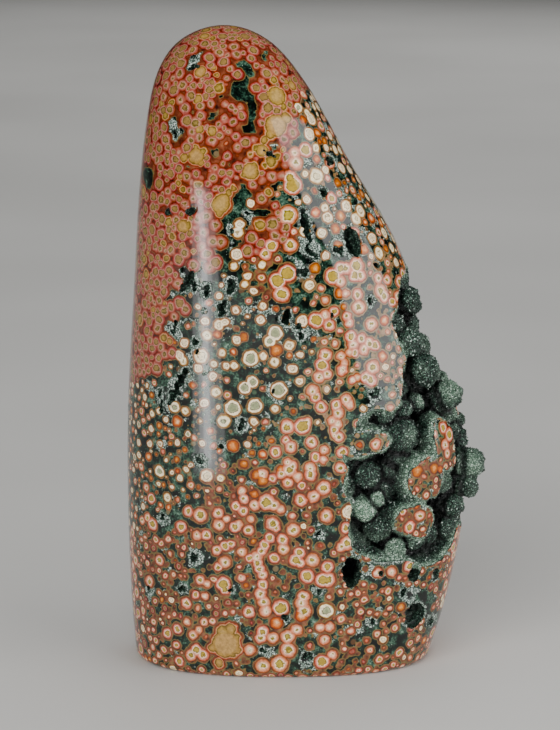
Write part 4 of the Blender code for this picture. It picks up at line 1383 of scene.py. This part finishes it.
    @staticmethod
    def sunken(
        g: Graph,
        place: Socket,
        base: Socket,
        apart: float,
        size: float,
        few: float,
        codes: tuple,
        strength: float,
    ) -> Socket:
        """Adds small blurred orbs that lie under the polish.

        Args:
            g: the graph to add to.
            place: the point, in mm.
            base: the colour that they are seen in.
            apart: how far apart they are, in mm.
            size: their radius as a share of that.
            few: the share of places left empty.
            codes: their colours.
            strength: how clearly they show.

        Returns:
            The colour with the orbs in it.
        """
        cells = g.add("TexVoronoi", {"Vector": place, "Scale": 1.0 / apart, "Randomness": 1.0}, None)
        own = g.add("SeparateColor", (cells.outputs["Color"],), None).outputs
        disc = g.add("MapRange", (cells.outputs["Distance"], size, size * 0.6), **SMOOTH)
        some = g.add("Math", (own[0], few), operation="GREATER_THAN")
        shown = g.add("Math", (disc, some), operation="MULTIPLY")
        shown = g.add("Math", (shown, strength), operation="MULTIPLY")
        stops = tuple((0.2 + 0.3 * i, code) for i, code in enumerate(codes))
        colour = g.add("ValToRGB", (own[1],), stops=stops)
        return g.add("Mix", {0: shown, 6: base, 7: colour}, 2, **COLOURS)


@dataclass(frozen=True)
class GreenDruse:
    """Botryoidal chalcedony, coloured by chlorite and left as it grew.

    The eye gets dark lumps with a sugary skin, pale where the grains stand up; painted shade darkens it
    towards black where its depth attribute is high.
    """

    name: str = "botryoidal_green_chalcedony"
    sugar: float = 0.25  # the size of the grains of its skin, in mm
    roughness: float = 0.42

    def build(self) -> Material:
        """Wires the material, which reads how deep and how frosted the crust is, and paints shade into its
        colour that deepens with depth.

        Returns:
            The material.
        """
        g = Graph(self.name)
        own = g.add("TexCoord", out="Object")
        place = g.add("VectorMath", {0: own, "Scale": 1 / MM}, operation="SCALE")
        deep, frost = (g.add("Attribute", out="Fac", attribute_name=name) for name in ("depth", "frost"))
        speck = g.add("TexNoise", {"Vector": place, "Scale": 1 / self.sugar, "Detail": 3.0})
        base = g.add("ValToRGB", (speck,), stops=(
            (0.36, "#020604"), (0.48, "#0A1912"), (0.57, "#203C2F"), (0.68, "#7C9C89")))
        pale = g.add("ValToRGB", (speck,), stops=((0.36, "#22362B"), (0.5, "#66896F"), (0.66, "#D2E6D2")))
        colour = g.add("Mix", {0: frost, 6: base, 7: pale}, 2, **COLOURS)
        # Painted shade: the colour is mixed towards near black as the depth attribute rises.
        shade = g.add("MapRange", (deep, 0.6, 0.1), **SMOOTH)
        colour = g.add("Mix", {0: shade, 6: "#030705", 7: colour}, 2, **COLOURS)
        bump = g.add("Bump", {"Strength": 0.8, "Distance": 0.3 * MM, "Height": speck})
        surface = {"Base Color": colour, "Roughness": self.roughness, "IOR": CHALCEDONY_INDEX}
        shader = g.add("BsdfPrincipled", {**surface, "Normal": bump})
        g.add("OutputMaterial", {"Surface": shader}, None)
        return g.material


@dataclass(frozen=True)
class QuartzPoints:
    """Drusy quartz over green chalcedony.

    The eye gets tiny clear points that glitter, green from what they stand on.
    """

    name: str = "drusy_quartz"
    roughness: float = 0.16

    def build(self) -> Material:
        """Wires the material, in which each point has its own green or grey, with painted shade that
        deepens with depth.

        Returns:
            The material.
        """
        g = Graph(self.name)
        own, deep, frost = (
            g.add("Attribute", out="Fac", attribute_name=name) for name in ("own", "depth", "frost")
        )
        base = g.add("ValToRGB", (own,), stops=(
            (0.0, "#040C08"), (0.5, "#10251B"), (0.8, "#305241"), (0.94, "#D4E4D8")))
        pale = g.add("ValToRGB", (own,), stops=((0.0, "#38544A"), (0.5, "#7C9C86"), (1.0, "#E2EEDF")))
        colour = g.add("Mix", {0: frost, 6: base, 7: pale}, 2, **COLOURS)
        # Painted shade: the colour is mixed towards near black as the depth attribute rises.
        shade = g.add("MapRange", (deep, 0.6, 0.1), **SMOOTH)
        colour = g.add("Mix", {0: shade, 6: "#020403", 7: colour}, 2, **COLOURS)
        surface = {"Base Color": colour, "Roughness": self.roughness, "IOR": CHALCEDONY_INDEX}
        g.add("OutputMaterial", {"Surface": g.add("BsdfPrincipled", surface)}, None)
        return g.material


# Paler places of the crust: x, z, radius and how pale.
FROSTED = (
    (13.4, 34.6, 1.8, 0.7), (11.2, 32.4, 2.4, 0.9), (21.8, 51.6, 1.2, 1.0), (13.8, 44.8, 1.8, 0.7),
    (30.6, 37.8, 3.0, 0.6), (22.6, 38.0, 5.4, 0.5), (27.0, 53.0, 2.6, 0.5), (17.0, 24.5, 3.0, 0.5),
)


def frost_at(points: np.ndarray) -> np.ndarray:
    """Tells how pale the crust is: in clouds low in the pocket and in the places listed above.

    Args:
        points: points of the crust.

    Returns:
        A number from 0 to 1 for each.
    """
    clouds = np.clip(Waves(51, 6.0).at(points) * 0.26, 0, 0.45)
    pale = clouds * smooth_step(70.0, 56.0, points[:, 2])
    for x, z, radius, amount in FROSTED:
        away = np.hypot(points[:, 0] - x, points[:, 2] - z)
        front = points[:, 1] < 0
        pale = np.maximum(pale, amount * smooth_step(radius * 1.3, radius * 0.5, away) * front)
    return pale


@dataclass
class PolishedStone:
    """The jasper itself: the polished body with its pocket, islands, vugs and small holes."""

    pocket: Pocket
    turns: int = 230
    rings: int = 180
    polish: float = 0.06  # how far a polished face may lie from the envelope, in mm
    base_band: float = 1.6  # faces lower than this belong to the sawn base, in mm
    hole_seed: int = 91
    hole_area: float = 1.6  # a porous patch has one small hole more for each of these, in mm2
    hole_half: tuple = (0.3, 0.62)  # half the width of a hole, in mm
    hole_tall: float = 1.5  # how much taller than that it is
    hole_deep: tuple = (0.8, 1.5)  # its depth, in mm
    hole_turn: float = 40.0  # how far it may lean out of its patch's lean, in degrees
    vug_voxel: float = 0.2
    window_halo: float = 0.28  # the widest skirt of an orb in a window, in mm
    porous_grain: float = 0.8
    wall_frost: float = 0.25  # how pale the raw walls are, over the crust
    orbs: OrbField = field(default_factory=OrbField)
    space: Piece | None = None
    rim: np.ndarray | None = None

    def vug_cutter(self) -> Piece:
        """Makes a ragged hollow for each vug and for the holes of the porous patches.

        Returns:
            The solid that is cut from the stone.
        """
        places = []
        for vug in VUGS:
            size = Matrix.Diagonal((vug.wide, vug.deep, vug.high, 1))
            places.append(np.array(FORM.frame_at(FORM.front(vug.x, vug.z), 0.0, vug.lean) @ size))
        chance = np.random.default_rng(self.hole_seed)
        for x, z, wide, high, lean in POROUS.places():
            for _ in range(1 + int(wide * high / self.hole_area)):
                dx, dz = chance.uniform(-0.6, 0.6) * wide, chance.uniform(-0.7, 0.7) * high
                across, up = chance.uniform(*self.hole_half, 2) * (1.0, self.hole_tall)
                size = Matrix.Diagonal((across, chance.uniform(*self.hole_deep), up, 1))
                turn = lean + chance.uniform(-self.hole_turn, self.hole_turn)
                frame = FORM.frame_at(FORM.front(x + dx, z + dz), 0.0, turn)
                places.append(np.array(frame @ size))
        joined = stamp("vugs", ball(4), np.array(places))
        cutter = one_skin(new_object("vugs", joined), self.vug_voxel)
        spots = coordinates(cutter.data)
        ragged = Waves(61, 1.1).at(spots) * 0.22 + Waves(62, 0.5).at(spots) * 0.08
        move_vertices(cutter.data, spots + vertex_normals(cutter.data) * ragged[:, None])
        return cutter

    def build(self) -> Piece:
        """Shapes the stone, cuts its pocket and vugs and dresses it.

        Returns:
            The stone, still in mm.
        """
        mesh = globe("polished_stone", self.turns, self.rings)
        unit = coordinates(mesh)
        way = 1 - np.arccos(np.clip(unit[:, 2], -1, 1)) / math.pi
        move_vertices(mesh, FORM.points(way, np.arctan2(unit[:, 1], unit[:, 0])))
        stone = new_object("jasper_body", mesh)
        self.space = self.pocket.cutter()
        cut(stone, self.space)
        vugs = self.vug_cutter()
        cut(stone, vugs)
        discard(vugs)
        self.dress(stone.data)
        return stone

    def dress(self, mesh: Mesh) -> None:
        """Sorts polished faces from raw ones, writes the attributes and sets the materials.

        Args:
            mesh: the stone's mesh.
        """
        spots, middles = coordinates(mesh), vectors(mesh.polygons, "center")
        sawn = middles[:, 2] < self.base_band
        raw = ~((np.abs(FORM.depth(middles)) < self.polish) | sawn)
        mesh.materials.clear()
        mesh.materials.append(PolishedJasper().build())
        mesh.materials.append(GreenDruse("raw_vug_wall").build())
        mesh.polygons.foreach_set("material_index", raw.astype(np.int32))
        mesh.polygons.foreach_set("use_smooth", np.ones(len(raw), bool))
        rim, self.rim = self.rim_distance(mesh, spots, raw)
        growths = [GROWTH[zone] for zone in zone_of(spots)]
        halo, tan, grain = np.array([(growth.halo, growth.tan, growth.grain) for growth in growths]).T
        window, porous = WINDOWS.share(spots), POROUS.share(spots)
        clear = smooth_step(0.3, 0.7, np.maximum(window, porous))
        store(mesh, "rim", rim)
        store(mesh, "halo", halo + (np.minimum(halo, self.window_halo) - halo) * clear)
        store(mesh, "tan", tan)
        store(mesh, "grain", np.maximum(grain * (1 - window), porous * self.porous_grain))
        # Painted shade: the raw walls of the pocket and of the vugs darken with this depth in their
        # material.
        store(mesh, "depth", FORM.depth(spots) / PAINTED_SHADE_DEPTH)
        store(mesh, "frost", self.wall_frost * frost_at(spots))
        self.orbs.mark(mesh, middles)

    @staticmethod
    def rim_distance(
        mesh: Mesh, spots: np.ndarray, raw: np.ndarray
    ) -> tuple[np.ndarray, np.ndarray]:
        """Marks the edges between polished and raw faces sharp, and measures from them.

        Args:
            mesh: the stone's mesh.
            spots: its vertices.
            raw: whether each face is raw.

        Returns:
            How far each vertex is from the nearest such edge, and the vertices of those edges.
        """
        bm = bmesh.new()
        bm.from_mesh(mesh)
        bm.faces.ensure_lookup_table()
        rim = set()
        for edge in bm.edges:
            sides = [raw[f.index] for f in edge.link_faces]
            if len(sides) == 2 and sides[0] != sides[1]:
                edge.smooth = False
                rim.update(v.index for v in edge.verts)
        bm.to_mesh(mesh)
        bm.free()
        edge_spots = spots[sorted(rim)]
        return away_from(edge_spots, spots), edge_spots


@dataclass
class DruseCrust:
    """The crust of the pocket: botryoidal lumps over a knobbly coat."""

    pocket: Pocket
    voxel: float = 0.33
    tries: int = 9000  # places that are tried for the lumps of the hidden side
    lump: tuple = (1.6, 3.2)  # their radii, in mm
    lump_deep: tuple = (0.6, 3.4)  # how deep they lie, in mm
    hidden: float = -4.0  # y behind which lumps are scattered
    apart: float = 0.8  # how close two lumps may be, as a share of their radii
    under: float = 0.8  # how far each lump of a chain lies below the last, in radii
    swelling: float = 1.04  # and how much larger it is
    knob: tuple = (0.3, 0.62)  # radii of the knobs on the lumps, in mm
    coat: tuple = (0.7, 1.35)  # radii of the small lumps on the wall, in mm
    coat_deep: tuple = (0.35, 9.0)  # between which depths the wall has them, in mm
    coat_cube: float = 1.5  # more than two of them need to be apart, in mm
    sugar: tuple = (-0.09, 0.11)  # the height of the grains on its skin, in mm
    centres: np.ndarray | None = None
    radii: np.ndarray | None = None

    def chance(self, step: int) -> np.random.Generator:
        """The random numbers of one step of the growth."""
        return np.random.default_rng(self.pocket.seed + step)

    def head_lumps(self) -> list:
        """Gathers the large lumps: those placed one by one, and those scattered round the side.

        Returns:
            For each its point of the polish, depth and radius.
        """
        chance = self.chance(0)
        heads = [(FORM.front(x, z), deep, radius) for x, z, deep, radius in self.pocket.lumps]
        way = chance.uniform(0.2, 0.8, self.tries)
        spots = FORM.points(way, chance.uniform(0, 2 * math.pi, self.tries))
        for spot in spots[self.pocket.holds(spots)]:
            radius, deep = chance.uniform(*self.lump), chance.uniform(*self.lump_deep)
            clear = all(np.linalg.norm(spot - at) > self.apart * (radius + r) for at, _, r in heads)
            if spot[1] > self.hidden and clear:
                heads.append((spot, deep, radius))
        return heads

    def chains(self) -> tuple[np.ndarray, np.ndarray]:
        """Sets further lumps under each large one, down to the wall.

        Returns:
            Centres and radii of them all.
        """
        centres, radii = [], []
        turn = np.linspace(0, 2 * math.pi, 8, endpoint=False)
        for surface, deep, radius in self.head_lumps():
            into = FORM.inward(surface[None])[0]
            frame = np.array(FORM.frame_at(surface, 0.0, 0.0))
            ring = np.stack([np.cos(turn), 0 * turn, np.sin(turn)], 1) * radius * 1.2
            if not self.pocket.holds(ring @ frame[:3, :3].T + surface).all():
                deep = max(deep, radius)
            while deep < self.pocket.depth + 0.5 * radius:
                centres.append(surface + into * deep)
                radii.append(radius)
                deep += self.under * radius
                radius *= self.swelling
        return np.array(centres), np.array(radii)

    def warts(self, centres: np.ndarray, radii: np.ndarray) -> tuple[np.ndarray, np.ndarray]:
        """Sets small knobs all over the large lumps.

        Args:
            centres: the middles of the large lumps.
            radii: their radii.

        Returns:
            Centres and radii of the knobs.
        """
        chance = self.chance(3)
        knob_centres, knob_radii = [], []
        for centre, radius in zip(centres, radii):
            count = int(5.0 * radius**2) + 6
            ways = chance.normal(size=(count, 3))
            ways /= np.linalg.norm(ways, axis=1)[:, None]
            size = chance.uniform(*self.knob, count)
            knob_centres.append(centre + ways * (radius - 0.45 * size)[:, None])
            knob_radii.append(size)
        return np.concatenate(knob_centres), np.concatenate(knob_radii)

    def wall_coat(self, space: Piece) -> tuple[np.ndarray, np.ndarray]:
        """Sets small lumps all over the pocket's wall and the sides of its islands.

        Args:
            space: the pocket's cutter, whose skin inside the stone is that wall.

        Returns:
            Centres and radii.
        """
        chance = self.chance(1)
        spots, out = coordinates(space.data), vertex_normals(space.data)
        deep = FORM.depth(spots)
        keep = np.flatnonzero((deep > self.coat_deep[0]) & (deep < self.coat_deep[1]))
        chance.shuffle(keep)
        cells = Cells(self.coat_cube)
        centres, radii = [], []
        for i in keep:
            radius = min(chance.uniform(*self.coat), deep[i] * 0.9)
            near = spots[cells.near(spots[i])]
            if (np.linalg.norm(spots[i] - near, axis=1) < self.apart * radius).any():
                continue
            cells.add(spots[i], i)
            centres.append(spots[i] + out[i] * 0.35 * radius)
            radii.append(radius)
        return np.array(centres), np.array(radii)

    def build(self, space: Piece, rim: np.ndarray) -> Piece:
        """Grows the crust in the pocket.

        Args:
            space: the pocket's cutter.
            rim: points of the polish's edge, near which the crust is paler.

        Returns:
            The crust.
        """
        self.centres, self.radii = self.chains()
        balls = ((self.centres, self.radii), self.warts(self.centres, self.radii), self.wall_coat(space))
        centres, radii = (np.concatenate(part) for part in zip(*balls))
        grown = stamp("crust", ball(2), scaled_places(centres, radii))
        crust = one_skin(new_object("druse_botryoids", grown), self.voxel)
        mesh = crust.data
        spots, out = coordinates(mesh), vertex_normals(mesh)
        swell = Waves(71, 1.6).at(spots) * 0.08 + Waves(72, 0.8).at(spots) * 0.05
        swell = swell + self.chance(2).uniform(*self.sugar, len(spots))
        spots = spots + out * swell[:, None]
        move_vertices(mesh, spots)
        mesh.polygons.foreach_set("use_smooth", np.zeros(len(mesh.polygons), bool))
        self.mark(mesh, spots, rim)
        mesh.materials.clear()
        mesh.materials.append(GreenDruse().build())
        return crust

    def crease(self, spots: np.ndarray) -> np.ndarray:
        """Tells how deep in a crease between two large lumps points lie.

        Args:
            spots: points of the crust.

        Returns:
            A number from 0 to 1 for each.
        """
        tree = tree_of(self.centres)
        gaps = [[gap - self.radii[i] for _, i, gap in tree.find_n(spot, 4)] for spot in spots]
        near, second = np.sort(np.array(gaps), axis=1)[:, :2].T
        return smooth_step(1.0, 0.1, second - near) * smooth_step(1.4, 0.6, second)

    def mark(self, mesh: Mesh, spots: np.ndarray, rim: np.ndarray) -> None:
        """Writes the painted shade of the crust, deep in the pocket and in the creases between lumps, and
        how pale it is.

        Args:
            mesh: the crust or what stands on it.
            spots: its vertices.
            rim: points of the polish's edge, near which it is paler.
        """
        crease = self.crease(spots)
        edge = 0.8 * smooth_step(1.6, 0.2, away_from(rim, spots))
        # Painted shade: the depth attribute darkens the colour deep in the pocket and, through the crease
        # term, between lumps; frost is cut back in the creases.
        store(mesh, "depth", FORM.depth(spots) / PAINTED_SHADE_DEPTH + 0.4 * crease)
        store(mesh, "frost", np.maximum(frost_at(spots) * (1.15 - crease), edge))


@dataclass
class QuartzDust:
    """Thousands of small quartz points that stand on the crust."""

    count: int = 20000
    size: tuple = (0.22, 0.5)  # in mm, coarser than the real ones, so that they show
    slim: float = 0.42  # the radius of one's foot over its size
    tall: float = 1.4  # its length over its size; half of it is sunk in the crust
    sides: int = 5
    tilt: float = 0.45  # how far they lean out of the crust's normal, as a spread
    deepest: float = 6.0  # no points grow deeper in the pocket than this, in mm
    facing: float = -0.5  # the least cosine between a face of the crust and the way out
    seed: int = 23

    def build(self, crust: Piece, form: DruseCrust, rim: np.ndarray) -> Piece:
        """Sets the points on the crust.

        Args:
            crust: the crust they grow on.
            form: the lumps of that crust.
            rim: points of the polish's edge, near which they are paler.

        Returns:
            All the points in one piece.
        """
        chance = np.random.default_rng(self.seed)
        faces = crust.data.polygons
        middles, normals = vectors(faces, "center"), vectors(faces, "normal")
        facing = (normals * -FORM.inward(middles)).sum(1)
        open_air = (FORM.depth(middles) < self.deepest) & (facing > self.facing)
        chosen = chance.choice(np.flatnonzero(open_air), self.count, replace=False)
        size = chance.uniform(*self.size, self.count)
        places = np.zeros((self.count, 4, 4))
        lean = normals[chosen] + chance.normal(0, self.tilt, (self.count, 3))
        lean /= np.linalg.norm(lean, axis=1)[:, None]
        side = np.cross(lean, chance.normal(size=(self.count, 3)))
        side /= np.linalg.norm(side, axis=1)[:, None]
        for axis, way in enumerate((side * self.slim, np.cross(lean, side) * self.slim, lean)):
            places[:, :3, axis] = way * size[:, None]
        places[:, :3, 3] = middles[chosen]
        places[:, 3, 3] = 1
        mesh = stamp("quartz", self.point(), places)
        dust = new_object("druse_quartz_points", mesh)
        own = chance.uniform(0, 1, self.count)
        store(mesh, "own", np.repeat(own, len(mesh.vertices) // self.count))
        form.mark(mesh, coordinates(mesh), rim)
        mesh.materials.append(QuartzPoints().build())
        return dust

    def point(self) -> bmesh.types.BMesh:
        """Makes one point.

        Returns:
            A pyramid, closed below.
        """
        point = bmesh.new()
        bmesh.ops.create_cone(
            point, cap_ends=True, segments=self.sides, radius1=1.0, radius2=0.0, depth=self.tall
        )
        bmesh.ops.triangulate(point, faces=point.faces)
        return point


def settle(piece: Piece) -> None:
    """Turns a piece made in mm into metres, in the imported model's place."""
    move_vertices(piece.data, (coordinates(piece.data) + SHIFT) * MM)


@dataclass(frozen=True)
class Panel:
    """A flat soft light: its place, what it faces, its size in metres and its power in watts."""

    place: tuple
    aim: tuple
    wide: float
    high: float
    power: float


class Source(Enum):
    """The studio's lights. The three strips make one soft-edged gleam down the front."""

    STRIP = Panel((-0.101, -0.157, 0.050), (-0.019, -0.02, 0.050), 0.014, 0.092, 0.019)
    STRIP_EDGE = Panel((-0.102, -0.159, 0.050), (-0.019, -0.02, 0.050), 0.032, 0.1, 0.03)
    STRIP_GLOW = Panel((-0.103, -0.161, 0.050), (-0.019, -0.02, 0.050), 0.062, 0.104, 0.044)
    SOFTBOX = Panel((0.64, -0.40, 0.27), (0.0, 0.0, 0.07), 0.8, 0.52, 4.8)
    KEY = Panel((-0.36, -0.98, 0.56), (0.0, 0.0, 0.06), 1.0, 0.7, 13.8)
    OVERHEAD = Panel((0.1, 0.1, 0.95), (0.0, 0.0, 0.05), 0.8, 0.6, 2.4)
    BACK = Panel((0.30, 1.05, 0.60), (0.0, 0.0, 0.06), 1.2, 0.8, 4.5)

    @property
    def gleam(self) -> bool:
        """Whether the light is only seen as a reflection."""
        return self.name.startswith("STRIP")


@dataclass(frozen=True)
class Studio:
    """A pale floor, soft lights and the camera."""

    sight: Sight = SIGHT
    floor_half: float = 4.0
    room: str = "#B9BEC4"
    room_power: float = 0.06

    def build(self) -> None:
        """Sets everything up round the stone."""
        bm = bmesh.new()
        bmesh.ops.create_grid(bm, x_segments=1, y_segments=1, size=self.floor_half)
        floor = new_object("floor", made_mesh("floor", bm))
        floor.data.materials.append(self.paper())
        for source in Source:
            self.light(source)
        world = bpy.data.worlds.new("room")
        world.use_nodes = True
        back = world.node_tree.nodes["Background"]
        back.inputs["Color"].default_value = linear(self.room)
        back.inputs["Strength"].default_value = self.room_power
        bpy.context.scene.world = world
        self.camera()

    @staticmethod
    def paper() -> Material:
        """Wires matt seamless paper, which gives the eye a quiet pale grey with faint clouds.

        Returns:
            The material.
        """
        g = Graph("pale_paper")
        place = g.add("TexCoord", out="Object")
        cloud = g.add("TexNoise", {"Vector": place, "Scale": 1 / 0.18, "Detail": 2.0})
        tone = g.add("ValToRGB", (cloud,), stops=((0.3, "#C9C8C4"), (0.7, "#D3D2CE")))
        shader = g.add("BsdfPrincipled", {"Base Color": tone, "Roughness": 0.85})
        g.add("OutputMaterial", {"Surface": shader}, None)
        return g.material

    @staticmethod
    def light(source: Source) -> None:
        """Adds one area light.

        Args:
            source: which of them it is.
        """
        panel = source.value
        data = bpy.data.lights.new(source.name.lower(), "AREA")
        data.shape = "RECTANGLE"
        data.size, data.size_y = panel.wide, panel.high
        data.energy = panel.power
        lamp = bpy.data.objects.new(source.name.lower(), data)
        lamp.location = panel.place
        lamp.visible_glossy = source.gleam or source is Source.SOFTBOX
        lamp.visible_diffuse = not source.gleam
        lamp.visible_camera = False
        way = Vector(panel.aim) - Vector(panel.place)
        lamp.rotation_euler = way.to_track_quat("-Z", "Y").to_euler()
        bpy.context.scene.collection.objects.link(lamp)

    def camera(self) -> None:
        """Adds the camera at the photograph's viewing angle."""
        data = bpy.data.cameras.new("camera")
        data.lens = self.sight.lens
        data.sensor_width = self.sight.film
        data.clip_start, data.clip_end = 0.01, 20.0
        camera = bpy.data.objects.new("camera", data)
        camera.location = self.sight.place() * MM
        camera.rotation_euler = self.sight.way().to_track_quat("-Z", "Y").to_euler()
        bpy.context.scene.collection.objects.link(camera)
        bpy.context.scene.camera = camera


def main() -> None:
    """Builds the stone, its crust and the studio."""
    logging.basicConfig(level=logging.INFO, format="%(message)s")
    for old in list(bpy.data.objects):
        bpy.data.objects.remove(old)
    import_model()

    pocket = Pocket()
    stone = PolishedStone(pocket)
    body = stone.build()
    LOG.info("orbs in the polish: %d", len(stone.orbs.radii))
    crust = DruseCrust(pocket)
    lumps = crust.build(stone.space, stone.rim)
    dust = QuartzDust().build(lumps, crust, stone.rim)
    discard(stone.space)
    for piece, node, slot in (
        (body, "polished_stone", "polished_jasper"),
        (lumps, "druse_crust", "green_druse"),
        (dust, "druse_crust", "green_druse"),
    ):
        settle(piece)
        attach(piece, "root")
        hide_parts(node)
        LOG.info("%s: %d faces", piece.name, len(piece.data.polygons))
    Studio().build()


if __name__ == "__main__":
    main()
